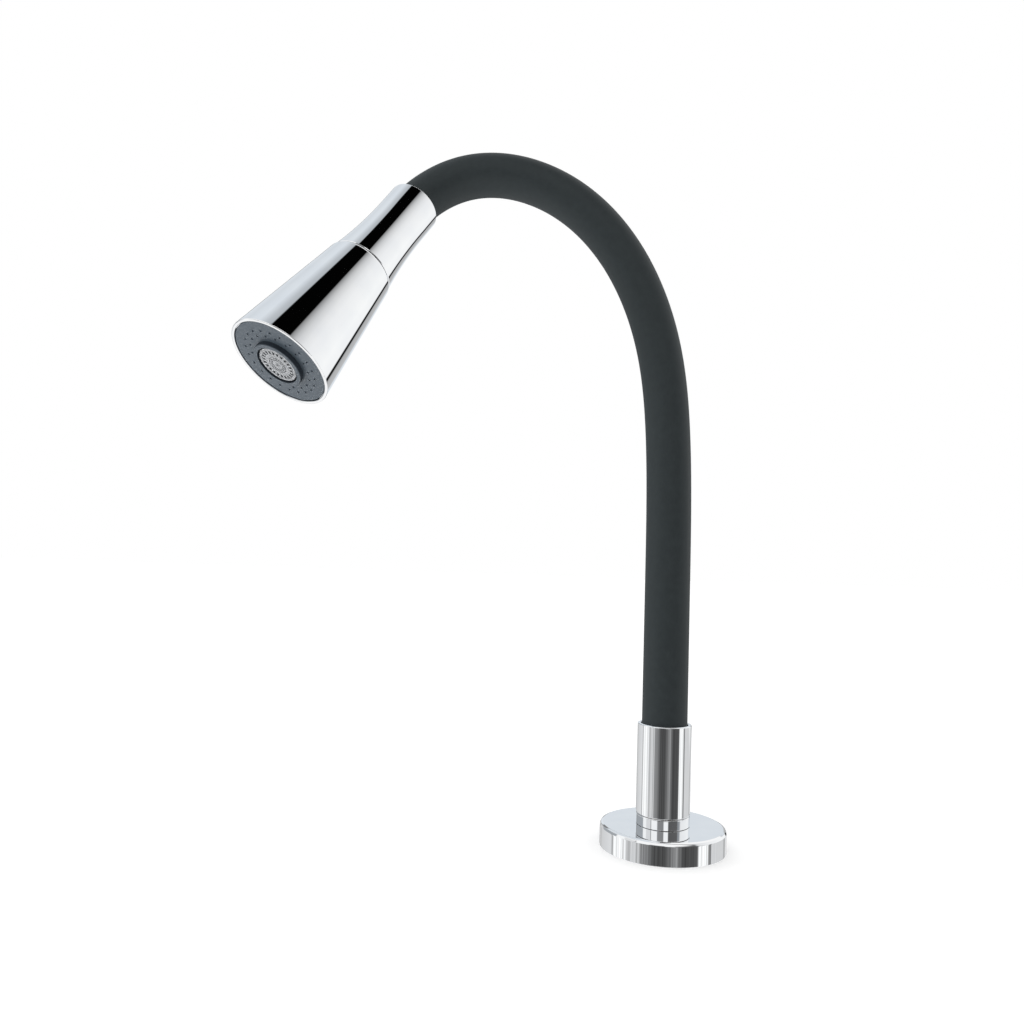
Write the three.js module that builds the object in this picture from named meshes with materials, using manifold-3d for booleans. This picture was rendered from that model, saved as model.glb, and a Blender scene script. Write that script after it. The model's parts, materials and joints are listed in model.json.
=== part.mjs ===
// A flexible kitchen spout: a cover flange on the worktop, a swivelling sleeve, a silicone-covered
// gooseneck, and a conical head with an aerated stream and a ring of spray nozzles.
// Millimetres, +Z up. The origin is the middle of the flange's underside, on the worktop.
// The gooseneck leans towards -X and the head turns towards -Y.

import * as THREE from 'three';
import { mergeVertices } from 'three/addons/utils/BufferGeometryUtils.js';
import Module from 'manifold-3d';

const wasm = await Module();
wasm.setup();

// Clearances and facets

const faceGap = 0.1; // between flat faces that rest on one another
const seatGap = 0.3; // round a part that is fitted into another
const slideGap = 0.25; // round a part that turns in another
const sealGap = 0.25; // round a seal in its groove
const overrun = 1; // how far a cutter reaches past what it cuts
const weld = 0.0001; // corners closer than this are one corner

const finePlan = 36; // sides of the polished parts that show
const plainPlan = 16; // sides of the parts inside
const roundSteps = 2; // steps of a rounded edge
const sealPlan = 4; // sides of an O-ring's section
const smallPlan = 6; // sides of a nozzle or another small hole
const hexagon = 6;

// Base: flange, stem and what clamps them to the worktop

const flangeRadius = 30;
const flangeHeight = 10.8;
const flangeWall = 3.2;
const flangeEdge = 1.8;
const flangeFootEdge = 0.3;
const gasketHeight = 2.2;
const gasketWidth = 7;

const shankRadius = 10.45; // half-inch pipe thread
const shankLength = 52;
const waterBore = 5.5;
const shoulderRadius = 11.6;
const shoulderHeight = 1.8;
const shoulderSeatDepth = 1.2; // how deep the shoulder's seat is sunk in the flange
const postRadius = 8.6;
const sealGrooveDepth = 1.5;
const sealPitch = 5;
const clipThickness = 1.2;
const clipWidth = 2.4;
const clipGrooveDepth = 1;
const clipSlotShare = 0.1; // of a spring ring's round that its slot leaves open
const postNose = 3.5; // post above its spring ring

const deckThickness = 30;
const rubberWasherRadius = 24;
const rubberWasherHeight = 3;
const metalWasherRadius = 21;
const metalWasherHeight = 1.6;
const nutAcrossFlats = 30;
const nutHeight = 8;

// Swivel and sleeve

const sleeveRadius = 12.9;
const sleeveWall = 0.9;
const sleeveLength = 42.5;
const sleeveEdge = 0.4;
const sleeveRimHeight = 1.5; // rim rolled in round the hose
const sleeveRimGap = 0.4;
const slipWasherHeight = 0.5;
const slipWasherInset = 0.4; // how far the washer stays back from the shoulder's edge
const ringInset = 0.15; // how far the swivel ring stays back from the sleeve's wall
const ringHeight = 3.6;
const seamWidth = 0.25;
const spigotWall = 1.8;
const spigotHeight = 4;
const postHeadroom = 1;
const tailThreadRadius = 6;
const tailThreadLength = 8.2;

// Hose: silicone cover, steel winding, water tube and their brass tails

const hoseRadius = 10.9;
const coverWall = 1.6;
const windingRadius = 8.6;
const windingWall = 2;
const windingGroove = 0.7; // depth of the valley between two turns
const windingPitch = 5;
const boreRingTurns = 3; // turns of the winding to each ring of its bore
const tubeRadius = 5;
const tubeWall = 1.5;
const nippleRadius = 2.9;
const nippleBore = 1.9;
const nippleLength = 13.5;
const barbDepth = 0.35;
const barbCount = 3;
const tailFlange = 3; // thickness of a tail's flange
const ferruleWall = 0.7;
const ferruleLength = 12.5;

const footLength = 4.1; // straight, on the sleeve's body
const bendLength = 378.5; // what can bend
const tailLength = 17; // straight, in the head
const mouthInset = 5; // how far the bend goes on inside the collar's mouth
// How far the hose turns in each tenth of the stretch that bends, in degrees: forwards, towards
// where the sink is, and to the side, towards the user.
const forwardTurns = [0, 0, 0, 1.5, 4, 12, 15.5, 20.5, 29, 47, 41];
const sideTurns = [0, 0, 0, 0, 0, 0, 0, -4, 3, 9, 42];
const bendPoints = 7; // where the winding is parted, so that it can bend
const bendGap = 7.2;

const coverPlan = 12;
const coverSteps = 50;
const windingPlan = 8;
const tubePlan = 6;
const tubeSteps = 26;
const routeSteps = 800;

// Head, along its own axis from the collar's mouth to the face

const collarMouthRadius = 13.15;
const collarSeamRadius = 16;
const collarLength = 51.5;
const collarMouthWall = 1.45;
const collarEdge = 0.4;
const collarStraightShare = 0.25; // of the collar's length, before it begins to flare
const collarWeb = 3;
const headSeam = 0.4;
const flareSteps = 4;

const bellSeamRadius = 16.6;
const lipRadius = 24.6;
const bellLength = 66.6;
const bellWall = 1.9;
const bellEdge = 0.5;
const lipEdge = 0.8;
const bellWeb = 1.3;

const plateRadius = 22.85;
const plateThickness = 2.4;
const plateRecess = 0.6;
const plateSkirt = 11.8;
const plateSkirtWall = 2.2;
const bossRadius = 12.5;
const bossHeight = 3;
const bossEdge = 0.5;
const nozzleRadius = 0.45;
const outerNozzleCircle = 17.8;
const innerNozzleCircle = 15.1;
const outerNozzleCount = 22;
const innerNozzleCount = 18;

const aeratorRadius = 9.4;
const aeratorRim = 1.2;
const aeratorRecess = 0.6;
const aeratorLength = 13.4;
const aeratorSealHeight = 1.4;
const aeratorLedge = 0.8;
const grilleThickness = 1.6;
const grilleSlotCount = 28;
const grilleSlotWidth = 0.75;
const grilleSlotLength = 0.95;
const grilleSlotCircle = 7.25;
const grilleHoleRadius = 0.42;
// Circles of holes inside the slots: radius as a share of the grille's, and how many holes
const grilleCircleShares = [
  { radius: 0.68, count: 16 },
  { radius: 0.43, count: 10 },
  { radius: 0.22, count: 5 },
];
const screenThickness = 0.5;
const screenHoleRadius = 0.6;
const screenCircle = 5;
const screenHoleCount = 6;

const spigotThreadRadius = 7.5;
const spigotThreadLength = 14;
const inletWasherHeight = 1.7;
const coreThreadRadius = 12.6;
const coreJournalRadius = 10.5;
const coreJournalLength = 10.4;
const coreWell = 6.5;
const coreFloor = 5;
const coreClipRise = 0.8; // journal below its spring ring
const portOffset = 4.6;
const portRadius = 2.2;
const portSealWall = 1;
const portSealDepth = 1.7;
const diverterThickness = 3.4;
const diverterGroove = 1.2;
const cartridgeRadius = 14.2;
const cartridgeFloor = 3;
const cartridgeNeckWall = 2.2;
const neckShoulder = 1; // how far the neck is wider than the aerator's bore
const sprayHoleRadius = 0.7;
const sprayHoleCount = 6;
const plateSealSection = 0.7;

// Materials

const polished = { color: 0xd9dde2, metalness: 1, roughness: 0.06 };
const brass = { color: 0xb99653, metalness: 1, roughness: 0.35 };
const steel = { color: 0x9a9c9e, metalness: 1, roughness: 0.4 };
const silicone = { color: 0x2d3436, metalness: 0, roughness: 0.7 };
const rubber = { color: 0x1b1c1d, metalness: 0, roughness: 0.8 };
const tubing = { color: 0xd8d5ca, metalness: 0, roughness: 0.5 };
const slate = { color: 0x5a6674, metalness: 0, roughness: 0.5 };
const paleGrey = { color: 0xb4b7ba, metalness: 0, roughness: 0.45 };
const acetal = { color: 0xe6e4dc, metalness: 0, roughness: 0.4 };

// Solids

/** The geometry with shared corners, no empty triangles, and its faces pointing out. */
function closed(geometry) {
  const bare = geometry.clone();
  bare.deleteAttribute('normal');
  bare.deleteAttribute('uv');
  const merged = mergeVertices(bare, weld);
  const corner = (i) => new THREE.Vector3().fromBufferAttribute(merged.attributes.position, i);
  const old = merged.index.array;
  const kept = [];
  let volume = 0;
  for (let i = 0; i < old.length; i += 3) {
    const [a, b, c] = [old[i], old[i + 1], old[i + 2]];
    if (a === b || b === c || c === a) continue;
    kept.push(a, b, c);
    volume += corner(a).dot(corner(b).cross(corner(c)));
  }
  if (volume < 0) kept.reverse();
  merged.setIndex(kept);
  return merged;
}

function toSolid(geometry) {
  const { attributes, index } = closed(geometry);
  const mesh = new wasm.Mesh({
    numProp: 3,
    vertProperties: new Float32Array(attributes.position.array),
    triVerts: new Uint32Array(index.array),
  });
  return new wasm.Manifold(mesh);
}

function toGeometry(solid) {
  const { vertProperties, triVerts } = solid.getMesh();
  const geometry = new THREE.BufferGeometry();
  geometry.setAttribute('position', new THREE.BufferAttribute(vertProperties, 3));
  geometry.setIndex(new THREE.BufferAttribute(triVerts, 1));
  return geometry;
}

/** The body with every cutter taken out of it. */
function cut(body, cutters) {
  const union = cutters.map(toSolid).reduce((all, one) => all.add(one));
  return toGeometry(toSolid(body).subtract(union));
}

/** An outline from corners [radius, height] or [radius, height, rounding], closed on itself. */
function outline(corners) {
  const at = corners.map(([radius, height]) => new THREE.Vector2(radius, height));
  const points = corners.flatMap(([, , rounding], i) => {
    if (!rounding) return [at[i]];
    const before = at[(i + at.length - 1) % at.length];
    const after = at[(i + 1) % at.length];
    const start = before.clone().sub(at[i]).setLength(rounding).add(at[i]);
    const end = after.clone().sub(at[i]).setLength(rounding).add(at[i]);
    return new THREE.QuadraticBezierCurve(start, at[i], end).getPoints(roundSteps);
  });
  return [...points, points[0].clone()];
}

/** A body turned about Z from the corners of its outline. */
function turned(corners, plan = plainPlan) {
  return closed(new THREE.LatheGeometry(outline(corners), plan).rotateX(Math.PI / 2));
}

/** A plain ring from height low to high. */
function ring(outer, inner, low, high, plan = plainPlan) {
  return turned([[inner, low], [outer, low], [outer, high], [inner, high]], plan);
}

/** An O-ring in the space between two radii. */
function seal(innerRadius, outerRadius, height) {
  const section = (outerRadius - innerRadius) / 2 - sealGap;
  const torus = new THREE.TorusGeometry((innerRadius + outerRadius) / 2, section, sealPlan, plainPlan);
  return closed(torus.translate(0, 0, height));
}

/** A spring ring with a slot, from height low to high. */
function springRing(outer, inner, low, high) {
  const halfSlot = Math.PI * clipSlotShare;
  const shape = new THREE.Shape();
  shape.absarc(0, 0, outer, halfSlot, 2 * Math.PI - halfSlot);
  shape.absarc(0, 0, inner, 2 * Math.PI - halfSlot, halfSlot, true);
  const flat = { depth: high - low, bevelEnabled: false, curveSegments: plainPlan / 2 };
  return closed(new THREE.ExtrudeGeometry(shape, flat).translate(0, 0, low));
}

/** A round cutter along Z, its middle at (x, y). */
function drill(x, y, radius, low, high, plan = plainPlan / 2) {
  const height = high - low;
  const cylinder = new THREE.CylinderGeometry(radius, radius, height, plan);
  return cylinder.rotateX(Math.PI / 2).translate(x, y, (low + high) / 2);
}

/** Cutters at even steps round a circle. */
function drillCircle(circle, count, radius, low, high, plan) {
  return Array.from({ length: count }, (_, i) => {
    const angle = (2 * Math.PI * i) / count;
    return drill(circle * Math.cos(angle), circle * Math.sin(angle), radius, low, high, plan);
  });
}

/** The outline of a barbed nipple, from its flange out to its tip. */
function barbs(low, direction) {
  const pitch = nippleLength / barbCount;
  return Array.from({ length: barbCount }, (_, i) => [
    [nippleRadius, low + direction * pitch * i],
    [nippleRadius - barbDepth, low + direction * pitch * (i + 1)],
  ]).flat();
}

function add(parent, name, geometry, finish) {
  const mesh = new THREE.Mesh(geometry, new THREE.MeshStandardMaterial(finish));
  mesh.name = name;
  parent.add(mesh);
}

const faucet = new THREE.Group();

// Heights of the base, from the worktop up

const seatFloor = flangeHeight - shoulderSeatDepth;
const shoulderFoot = seatFloor + faceGap;
const shoulderTop = shoulderFoot + shoulderHeight;
const slipWasherFoot = shoulderTop + faceGap;
const ringFoot = slipWasherFoot + slipWasherHeight + faceGap;
const ringTop = ringFoot + ringHeight;
const ringSkirtFoot = flangeHeight + slideGap;
const sleeveFoot = ringTop + seamWidth;
const sleeveTop = sleeveFoot + sleeveLength;
const spigotTop = ringTop + spigotHeight;
const lowSealHeight = spigotTop + sealPitch / 2;
const highSealHeight = lowSealHeight + sealPitch;
const clipFoot = highSealHeight + sealPitch - clipThickness / 2;
const clipTop = clipFoot + clipThickness;
const postTop = clipTop + postNose;
const bodyTop = postTop + postHeadroom + tailThreadLength;
const hoseSeat = bodyTop + seatGap;
const swivelBore = postRadius + slideGap;
const sealFloor = postRadius - sealGrooveDepth;
const sealGrooveHalf = (swivelBore - sealFloor) / 2 + sealGap;
const clipFloor = postRadius - clipGrooveDepth;

// Flange: a turned cap with a rim, a hub round the shank, a hollow between and a seat on top

const hubRadius = shankRadius + seatGap + flangeWall;
const rimBore = flangeRadius - flangeWall;
const flangeCeiling = flangeHeight - flangeWall;
const seatRadius = shoulderRadius + seatGap;
add(faucet, 'base_flange', turned([
  [shankRadius + seatGap, gasketHeight + faceGap],
  [hubRadius, gasketHeight + faceGap],
  [hubRadius, flangeCeiling],
  [rimBore, flangeCeiling],
  [rimBore, 0],
  [flangeRadius, 0, flangeFootEdge],
  [flangeRadius, flangeHeight, flangeEdge],
  [seatRadius, flangeHeight],
  [seatRadius, seatFloor],
  [shankRadius + seatGap, seatFloor],
], finePlan), polished);

const gasketRadius = rimBore - seatGap;
add(faucet, 'flange_gasket', ring(gasketRadius, gasketRadius - gasketWidth, 0, gasketHeight), rubber);

// Stem: threaded shank, shoulder in the flange, post with two seal grooves and a clip groove

function grooved(middle, half, floor) {
  return [
    [postRadius, middle - half],
    [floor, middle - half],
    [floor, middle + half],
    [postRadius, middle + half],
  ];
}

const clipMiddle = (clipFoot + clipTop) / 2;
add(faucet, 'stem', turned([
  [waterBore, -shankLength],
  [shankRadius, -shankLength],
  [shankRadius, shoulderFoot],
  [shoulderRadius, shoulderFoot],
  [shoulderRadius, shoulderTop],
  [postRadius, shoulderTop],
  ...grooved(lowSealHeight, sealGrooveHalf, sealFloor),
  ...grooved(highSealHeight, sealGrooveHalf, sealFloor),
  ...grooved(clipMiddle, clipThickness / 2 + faceGap, clipFloor),
  [postRadius, postTop],
  [waterBore, postTop],
]), brass);

add(faucet, 'stem_oring_lower', seal(sealFloor, swivelBore, lowSealHeight), rubber);
add(faucet, 'stem_oring_upper', seal(sealFloor, swivelBore, highSealHeight), rubber);
const clipRadius = clipFloor + sealGap + clipWidth;
add(faucet, 'stem_clip', springRing(clipRadius, clipFloor + sealGap, clipFoot, clipTop), steel);

// Clamp below the worktop: rubber washer, metal washer and hexagon nut on the shank

const shankHole = shankRadius + seatGap;
const rubberWasherFoot = -deckThickness - rubberWasherHeight;
add(
  faucet,
  'deck_washer_rubber',
  ring(rubberWasherRadius, shankHole, rubberWasherFoot, -deckThickness),
  rubber,
);
const metalWasherTop = rubberWasherFoot - faceGap;
const metalWasherFoot = metalWasherTop - metalWasherHeight;
add(
  faucet,
  'deck_washer_metal',
  ring(metalWasherRadius, shankHole, metalWasherFoot, metalWasherTop),
  steel,
);

function hexagonNut(acrossFlats, bore, height) {
  const corner = acrossFlats / Math.sqrt(3);
  const block = new THREE.CylinderGeometry(corner, corner, height, hexagon).rotateX(Math.PI / 2);
  return cut(block, [drill(0, 0, bore, -height / 2 - overrun, height / 2 + overrun, plainPlan)]);
}

const nutMiddle = metalWasherFoot - faceGap - nutHeight / 2;
add(
  faucet,
  'lock_nut',
  hexagonNut(nutAcrossFlats, shankHole, nutHeight).translate(0, 0, nutMiddle),
  brass,
);

// Swivel: slip washer, gland ring, body round the post and the sleeve over it

add(
  faucet,
  'slip_washer',
  ring(
    shoulderRadius - slipWasherInset,
    postRadius + slideGap,
    slipWasherFoot,
    slipWasherFoot + slipWasherHeight,
  ),
  acetal,
);

// The ring's skirt hides the slip washer and the shoulder, and runs just clear of the flange.
const ringRadius = sleeveRadius - ringInset;
const ringSkirtBore = shoulderRadius + seatGap;
const spigotRadius = swivelBore + spigotWall;
add(faucet, 'swivel_ring', turned([
  [swivelBore, ringFoot],
  [ringSkirtBore, ringFoot],
  [ringSkirtBore, ringSkirtFoot],
  [ringRadius, ringSkirtFoot],
  [ringRadius, ringTop],
  [spigotRadius, ringTop],
  [spigotRadius, spigotTop],
  [swivelBore, spigotTop],
], finePlan), polished);

const sleeveBore = sleeveRadius - sleeveWall;
const swivelBodyRadius = sleeveBore - seatGap;
const tailHole = tailThreadRadius + seatGap;
const clipRecess = clipRadius + slideGap;
add(faucet, 'swivel_body', turned([
  [spigotRadius + seatGap, ringTop + faceGap],
  [swivelBodyRadius, ringTop + faceGap],
  [swivelBodyRadius, bodyTop],
  [tailHole, bodyTop],
  [tailHole, postTop + postHeadroom],
  [swivelBore, postTop + postHeadroom],
  [swivelBore, clipTop + slideGap],
  [clipRecess, clipTop + slideGap],
  [clipRecess, clipFoot - slideGap],
  [swivelBore, clipFoot - slideGap],
  [swivelBore, spigotTop + faceGap],
  [spigotRadius + seatGap, spigotTop + faceGap],
]), brass);

const rimMouth = hoseRadius + sleeveRimGap;
const rimFoot = sleeveTop - sleeveRimHeight;
add(faucet, 'hose_sleeve', turned([
  [sleeveBore, sleeveFoot],
  [sleeveRadius, sleeveFoot],
  [sleeveRadius, sleeveTop, sleeveEdge],
  [rimMouth, sleeveTop],
  [rimMouth, rimFoot],
  [sleeveBore, rimFoot],
], finePlan), polished);

// Route of the hose: points at even steps, each with the directions along, forwards and sideways

function turnAt(turns, share) {
  const place = THREE.MathUtils.clamp(share, 0, 1) * (turns.length - 1);
  const before = Math.min(Math.floor(place), turns.length - 2);
  return THREE.MathUtils.lerp(turns[before], turns[before + 1], place - before);
}

const hoseLength = footLength + bendLength + tailLength;

function layRoute() {
  const step = hoseLength / routeSteps;
  const place = new THREE.Vector3(0, 0, hoseSeat);
  const along = new THREE.Vector3(0, 0, 1);
  const forward = new THREE.Vector3(-1, 0, 0);
  const side = new THREE.Vector3(0, -1, 0);
  const route = [];
  const note = () => route.push({
    place: place.clone(),
    along: along.clone(),
    forward: forward.clone(),
    side: side.clone(),
  });
  note();
  for (let i = 0; i < routeSteps; i += 1) {
    const share = ((i + 1 / 2) * step - footLength) / bendLength;
    const bends = share > 0 && share < 1;
    const perStep = ((forwardTurns.length - 1) * step) / bendLength;
    const turn = (turns) => (bends ? THREE.MathUtils.degToRad(turnAt(turns, share)) * perStep : 0);
    const lean = forward.clone().multiplyScalar(turn(forwardTurns));
    lean.addScaledVector(side, turn(sideTurns));
    place.addScaledVector(along.clone().addScaledVector(lean, 1 / 2).normalize(), step);
    along.add(lean).normalize();
    forward.addScaledVector(along, -forward.dot(along)).normalize();
    side.addScaledVector(along, -side.dot(along));
    side.addScaledVector(forward, -side.dot(forward)).normalize();
    note();
  }
  return route;
}

const route = layRoute();

/** Place and directions at a distance along the hose. */
function routeAt(distance) {
  const index = THREE.MathUtils.clamp((distance / hoseLength) * routeSteps, 0, routeSteps);
  const before = Math.min(Math.floor(index), routeSteps - 1);
  const mix = (key) => route[before][key].clone().lerp(route[before + 1][key], index - before);
  return { place: mix('place'), along: mix('along'), forward: mix('forward'), side: mix('side') };
}

/** The stretch of the route between two distances, as a curve. */
class Stretch extends THREE.Curve {
  constructor(from, to) {
    super();
    this.from = from;
    this.to = to;
  }

  getPoint(share) {
    return routeAt(THREE.MathUtils.lerp(this.from, this.to, share)).place;
  }

  getPointAt(share) {
    return this.getPoint(share);
  }

  getTangent(share) {
    return routeAt(THREE.MathUtils.lerp(this.from, this.to, share)).along.normalize();
  }

  getTangentAt(share) {
    return this.getTangent(share);
  }
}

function circlePoints(radius, plan) {
  return Array.from({ length: plan }, (_, i) => {
    const angle = (2 * Math.PI * i) / plan;
    return new THREE.Vector2(radius * Math.cos(angle), radius * Math.sin(angle));
  });
}

/** A tube along the route. */
function hoseTube(from, to, outer, inner, plan, steps) {
  const section = new THREE.Shape(circlePoints(outer, plan));
  section.holes.push(new THREE.Path(circlePoints(inner, plan)));
  const extrudePath = new Stretch(from, to);
  return closed(new THREE.ExtrudeGeometry(section, { steps, extrudePath, bevelEnabled: false }));
}

/** A stretch of the steel winding: turns outside and a plain bore, closed at both ends. */
function windingStretch(from, to) {
  const turns = Math.max(1, Math.round((to - from) / windingPitch));
  const loops = [];
  const addLoop = (distance, radius) => loops.push({ distance, radius });
  for (let i = 0; i <= 2 * turns; i += 1) {
    const valley = i % 2 === 0 ? windingGroove : 0;
    addLoop(THREE.MathUtils.lerp(from, to, i / (2 * turns)), windingRadius - valley);
  }
  const boreLoops = Math.ceil(turns / boreRingTurns);
  for (let i = boreLoops; i >= 0; i -= 1) {
    addLoop(THREE.MathUtils.lerp(from, to, i / boreLoops), windingRadius - windingWall);
  }
  const positions = loops.flatMap(({ distance, radius }) => {
    const { place, forward, side } = routeAt(distance);
    return circlePoints(radius, windingPlan).flatMap(({ x, y }) => (
      place.clone().addScaledVector(forward, x).addScaledVector(side, y).toArray()
    ));
  });
  const index = [];
  loops.forEach((_, i) => {
    const next = (i + 1) % loops.length;
    for (let j = 0; j < windingPlan; j += 1) {
      const k = (j + 1) % windingPlan;
      const [a, b] = [i * windingPlan + j, i * windingPlan + k];
      const [c, d] = [next * windingPlan + j, next * windingPlan + k];
      index.push(a, b, c, b, d, c);
    }
  });
  const geometry = new THREE.BufferGeometry();
  geometry.setAttribute('position', new THREE.Float32BufferAttribute(positions, 3));
  geometry.setIndex(index);
  return closed(geometry);
}

// Hose: tails and ferrules at both ends, water tube, winding and cover

const tailFlangeRadius = windingRadius;
const innerFrom = tailFlange + seatGap; // the tube and the winding start on the tail's flange
const innerTo = hoseLength;
const ferruleInner = tubeRadius + seatGap;

const tailTop = hoseSeat + tailFlange;
add(faucet, 'lower_fitting', turned([
  [nippleBore, bodyTop - tailThreadLength],
  [tailThreadRadius, bodyTop - tailThreadLength],
  [tailThreadRadius, hoseSeat],
  [tailFlangeRadius, hoseSeat],
  [tailFlangeRadius, tailTop],
  ...barbs(tailTop, 1),
  [nippleBore, tailTop + nippleLength],
]), brass);
add(
  faucet,
  'lower_ferrule',
  ring(
    ferruleInner + ferruleWall,
    ferruleInner,
    tailTop + seatGap,
    tailTop + seatGap + ferruleLength,
  ),
  steel,
);

add(
  faucet,
  'water_tube',
  hoseTube(innerFrom, innerTo, tubeRadius, tubeRadius - tubeWall, tubePlan, tubeSteps),
  tubing,
);
add(
  faucet,
  'silicone_cover',
  hoseTube(0, hoseLength, hoseRadius, hoseRadius - coverWall, coverPlan, coverSteps),
  silicone,
);

const stations = Array.from({ length: bendPoints }, (_, i) => (
  footLength + (bendLength * (i + 1)) / (bendPoints + 1)
));
const windingEnds = [
  innerFrom,
  ...stations.flatMap((station) => [station - bendGap / 2, station + bendGap / 2]),
  innerTo,
];
for (let i = 0; i <= bendPoints; i += 1) {
  const stretch = windingStretch(windingEnds[2 * i], windingEnds[2 * i + 1]);
  add(faucet, `gooseneck_${i + 1}`, stretch, steel);
}

// The head stands on the end of the hose: its own +Z runs from the collar's mouth to the face

const mouthToHoseEnd = tailLength + mouthInset;
const hoseEnd = routeAt(hoseLength);
const head = new THREE.Group();
head.quaternion.setFromRotationMatrix(new THREE.Matrix4().makeBasis(
  hoseEnd.forward,
  hoseEnd.along.clone().cross(hoseEnd.forward),
  hoseEnd.along,
));
head.position.copy(hoseEnd.place).addScaledVector(hoseEnd.along, -mouthToHoseEnd);
faucet.add(head);

// Depths in the head, from the collar's mouth down to the face

const upperTailTop = mouthToHoseEnd + seatGap;
const upperTailFoot = upperTailTop + tailFlange;
const webTop = upperTailFoot + seatGap;
const webFoot = webTop + collarWeb;
const coreTop = webFoot + seatGap;
const inletFloor = upperTailFoot + spigotThreadLength + seatGap * 2 + inletWasherHeight;
const coreStep = collarLength;
const bellTop = collarLength + headSeam;
const bellWebFoot = bellTop + bellWeb;
const faceDepth = bellTop + bellLength;
const plateFront = faceDepth - plateRecess;
const plateBack = plateFront - plateThickness;
const bossFront = plateFront + bossHeight;
const coreFoot = coreStep + coreJournalLength;
const journalBore = coreJournalRadius + slideGap;
const coreSealFloor = coreJournalRadius - sealGrooveDepth;
const coreSealHalf = (journalBore - coreSealFloor) / 2 + sealGap;
const cartridgeTop = bellWebFoot + seatGap;
const coreSealDepth = cartridgeTop + coreSealHalf + seatGap;
const coreClipFoot = coreFoot - coreClipRise;
const coreClipTop = coreClipFoot - clipThickness;
const coreClipFloor = coreJournalRadius - clipGrooveDepth;
const coreClipRadius = coreClipFloor + sealGap + clipWidth;

// Upper tail and ferrule, in the hose's end, and the collar that hides them

add(head, 'upper_fitting', turned([
  [nippleBore, upperTailFoot + spigotThreadLength],
  [spigotThreadRadius, upperTailFoot + spigotThreadLength],
  [spigotThreadRadius, upperTailFoot],
  [tailFlangeRadius, upperTailFoot],
  [tailFlangeRadius, upperTailTop],
  ...barbs(upperTailTop, -1),
  [nippleBore, upperTailTop - nippleLength],
]), brass);
add(
  head,
  'upper_ferrule',
  ring(
    ferruleInner + ferruleWall,
    ferruleInner,
    upperTailTop - seatGap - ferruleLength,
    upperTailTop - seatGap,
  ),
  steel,
);

/** The collar's flare: straight at the mouth, then widening in one curve to the seam. */
function collarFlare() {
  const flareTop = collarLength * collarStraightShare;
  const start = new THREE.Vector2(collarMouthRadius, flareTop);
  const bend = new THREE.Vector2(collarMouthRadius, (flareTop + collarLength) / 2);
  const end = new THREE.Vector2(collarSeamRadius, collarLength - collarEdge);
  const curve = new THREE.QuadraticBezierCurve(start, bend, end);
  return curve.getPoints(flareSteps).map(({ x, y }) => [x, y]);
}

const mouthBore = collarMouthRadius - collarMouthWall;
const spigotHole = spigotThreadRadius + seatGap;
const coreHole = coreThreadRadius + seatGap;
add(head, 'head_collar', turned([
  [mouthBore, 0],
  [collarMouthRadius, 0, collarEdge],
  ...collarFlare(),
  [collarSeamRadius - collarEdge, collarLength],
  [coreHole, collarLength],
  [coreHole, webFoot],
  [spigotHole, webFoot],
  [spigotHole, webTop],
  [mouthBore, webTop],
], finePlan), polished);

// Core: screwed into the collar, with a journal that the bell's cartridge turns on

const portFloor = coreFoot - portSealDepth;
const portSealRadius = portRadius + portSealWall;
const core = turned([
  [spigotHole, coreTop],
  [spigotHole, inletFloor],
  [coreWell, inletFloor],
  [coreWell, coreFoot - coreFloor],
  [0, coreFoot - coreFloor],
  [0, coreFoot],
  [coreJournalRadius, coreFoot],
  [coreJournalRadius, coreClipFoot + faceGap],
  [coreClipFloor, coreClipFoot + faceGap],
  [coreClipFloor, coreClipTop - faceGap],
  [coreJournalRadius, coreClipTop - faceGap],
  [coreJournalRadius, coreSealDepth + coreSealHalf],
  [coreSealFloor, coreSealDepth + coreSealHalf],
  [coreSealFloor, coreSealDepth - coreSealHalf],
  [coreJournalRadius, coreSealDepth - coreSealHalf],
  [coreJournalRadius, coreStep],
  [coreThreadRadius, coreStep],
  [coreThreadRadius, coreTop],
]);
add(head, 'spray_core', cut(core, [
  drill(portOffset, 0, portRadius, coreFoot - coreFloor - overrun, coreFoot + overrun),
  drill(portOffset, 0, portSealRadius + sealGap, portFloor, coreFoot + overrun, plainPlan),
]), acetal);

add(
  head,
  'inlet_washer',
  ring(
    spigotHole - seatGap,
    coreWell - seatGap,
    inletFloor - seatGap - inletWasherHeight,
    inletFloor - seatGap,
  ),
  rubber,
);
add(head, 'core_oring', seal(coreSealFloor, journalBore, coreSealDepth), rubber);
add(
  head,
  'core_clip',
  springRing(coreClipRadius, coreClipFloor + sealGap, coreClipTop, coreClipFoot),
  steel,
);
add(
  head,
  'diverter_seal',
  ring(portSealRadius - sealGap, portRadius, portFloor + sealGap, coreFoot, plainPlan)
    .translate(portOffset, 0, 0),
  rubber,
);

// Cartridge: hub on the journal, floor with the stream's port, and a neck down to the aerator

const diverterTop = coreFoot + seatGap;
const diverterFoot = diverterTop + diverterThickness;
const hubFloor = diverterFoot + faceGap;
const hubBore = coreClipRadius + slideGap;
const neckTop = hubFloor + cartridgeFloor;
const aeratorFront = bossFront - aeratorRecess;
const aeratorTop = aeratorFront - aeratorLength;
const aeratorSealTop = aeratorTop - seatGap - aeratorSealHeight;
const neckFoot = aeratorSealTop - seatGap;
const bossBore = aeratorRadius + seatGap;
const neckRadius = bossBore + neckShoulder;
const neckBore = neckRadius - cartridgeNeckWall;
const cartridge = turned([
  [journalBore, cartridgeTop],
  [cartridgeRadius, cartridgeTop],
  [cartridgeRadius, neckTop],
  [neckRadius, neckTop],
  [neckRadius, neckFoot],
  [neckBore, neckFoot],
  [neckBore, neckTop],
  [0, neckTop],
  [0, hubFloor],
  [hubBore, hubFloor],
  [hubBore, coreClipTop - slideGap],
  [journalBore, coreClipTop - slideGap],
]);
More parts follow.
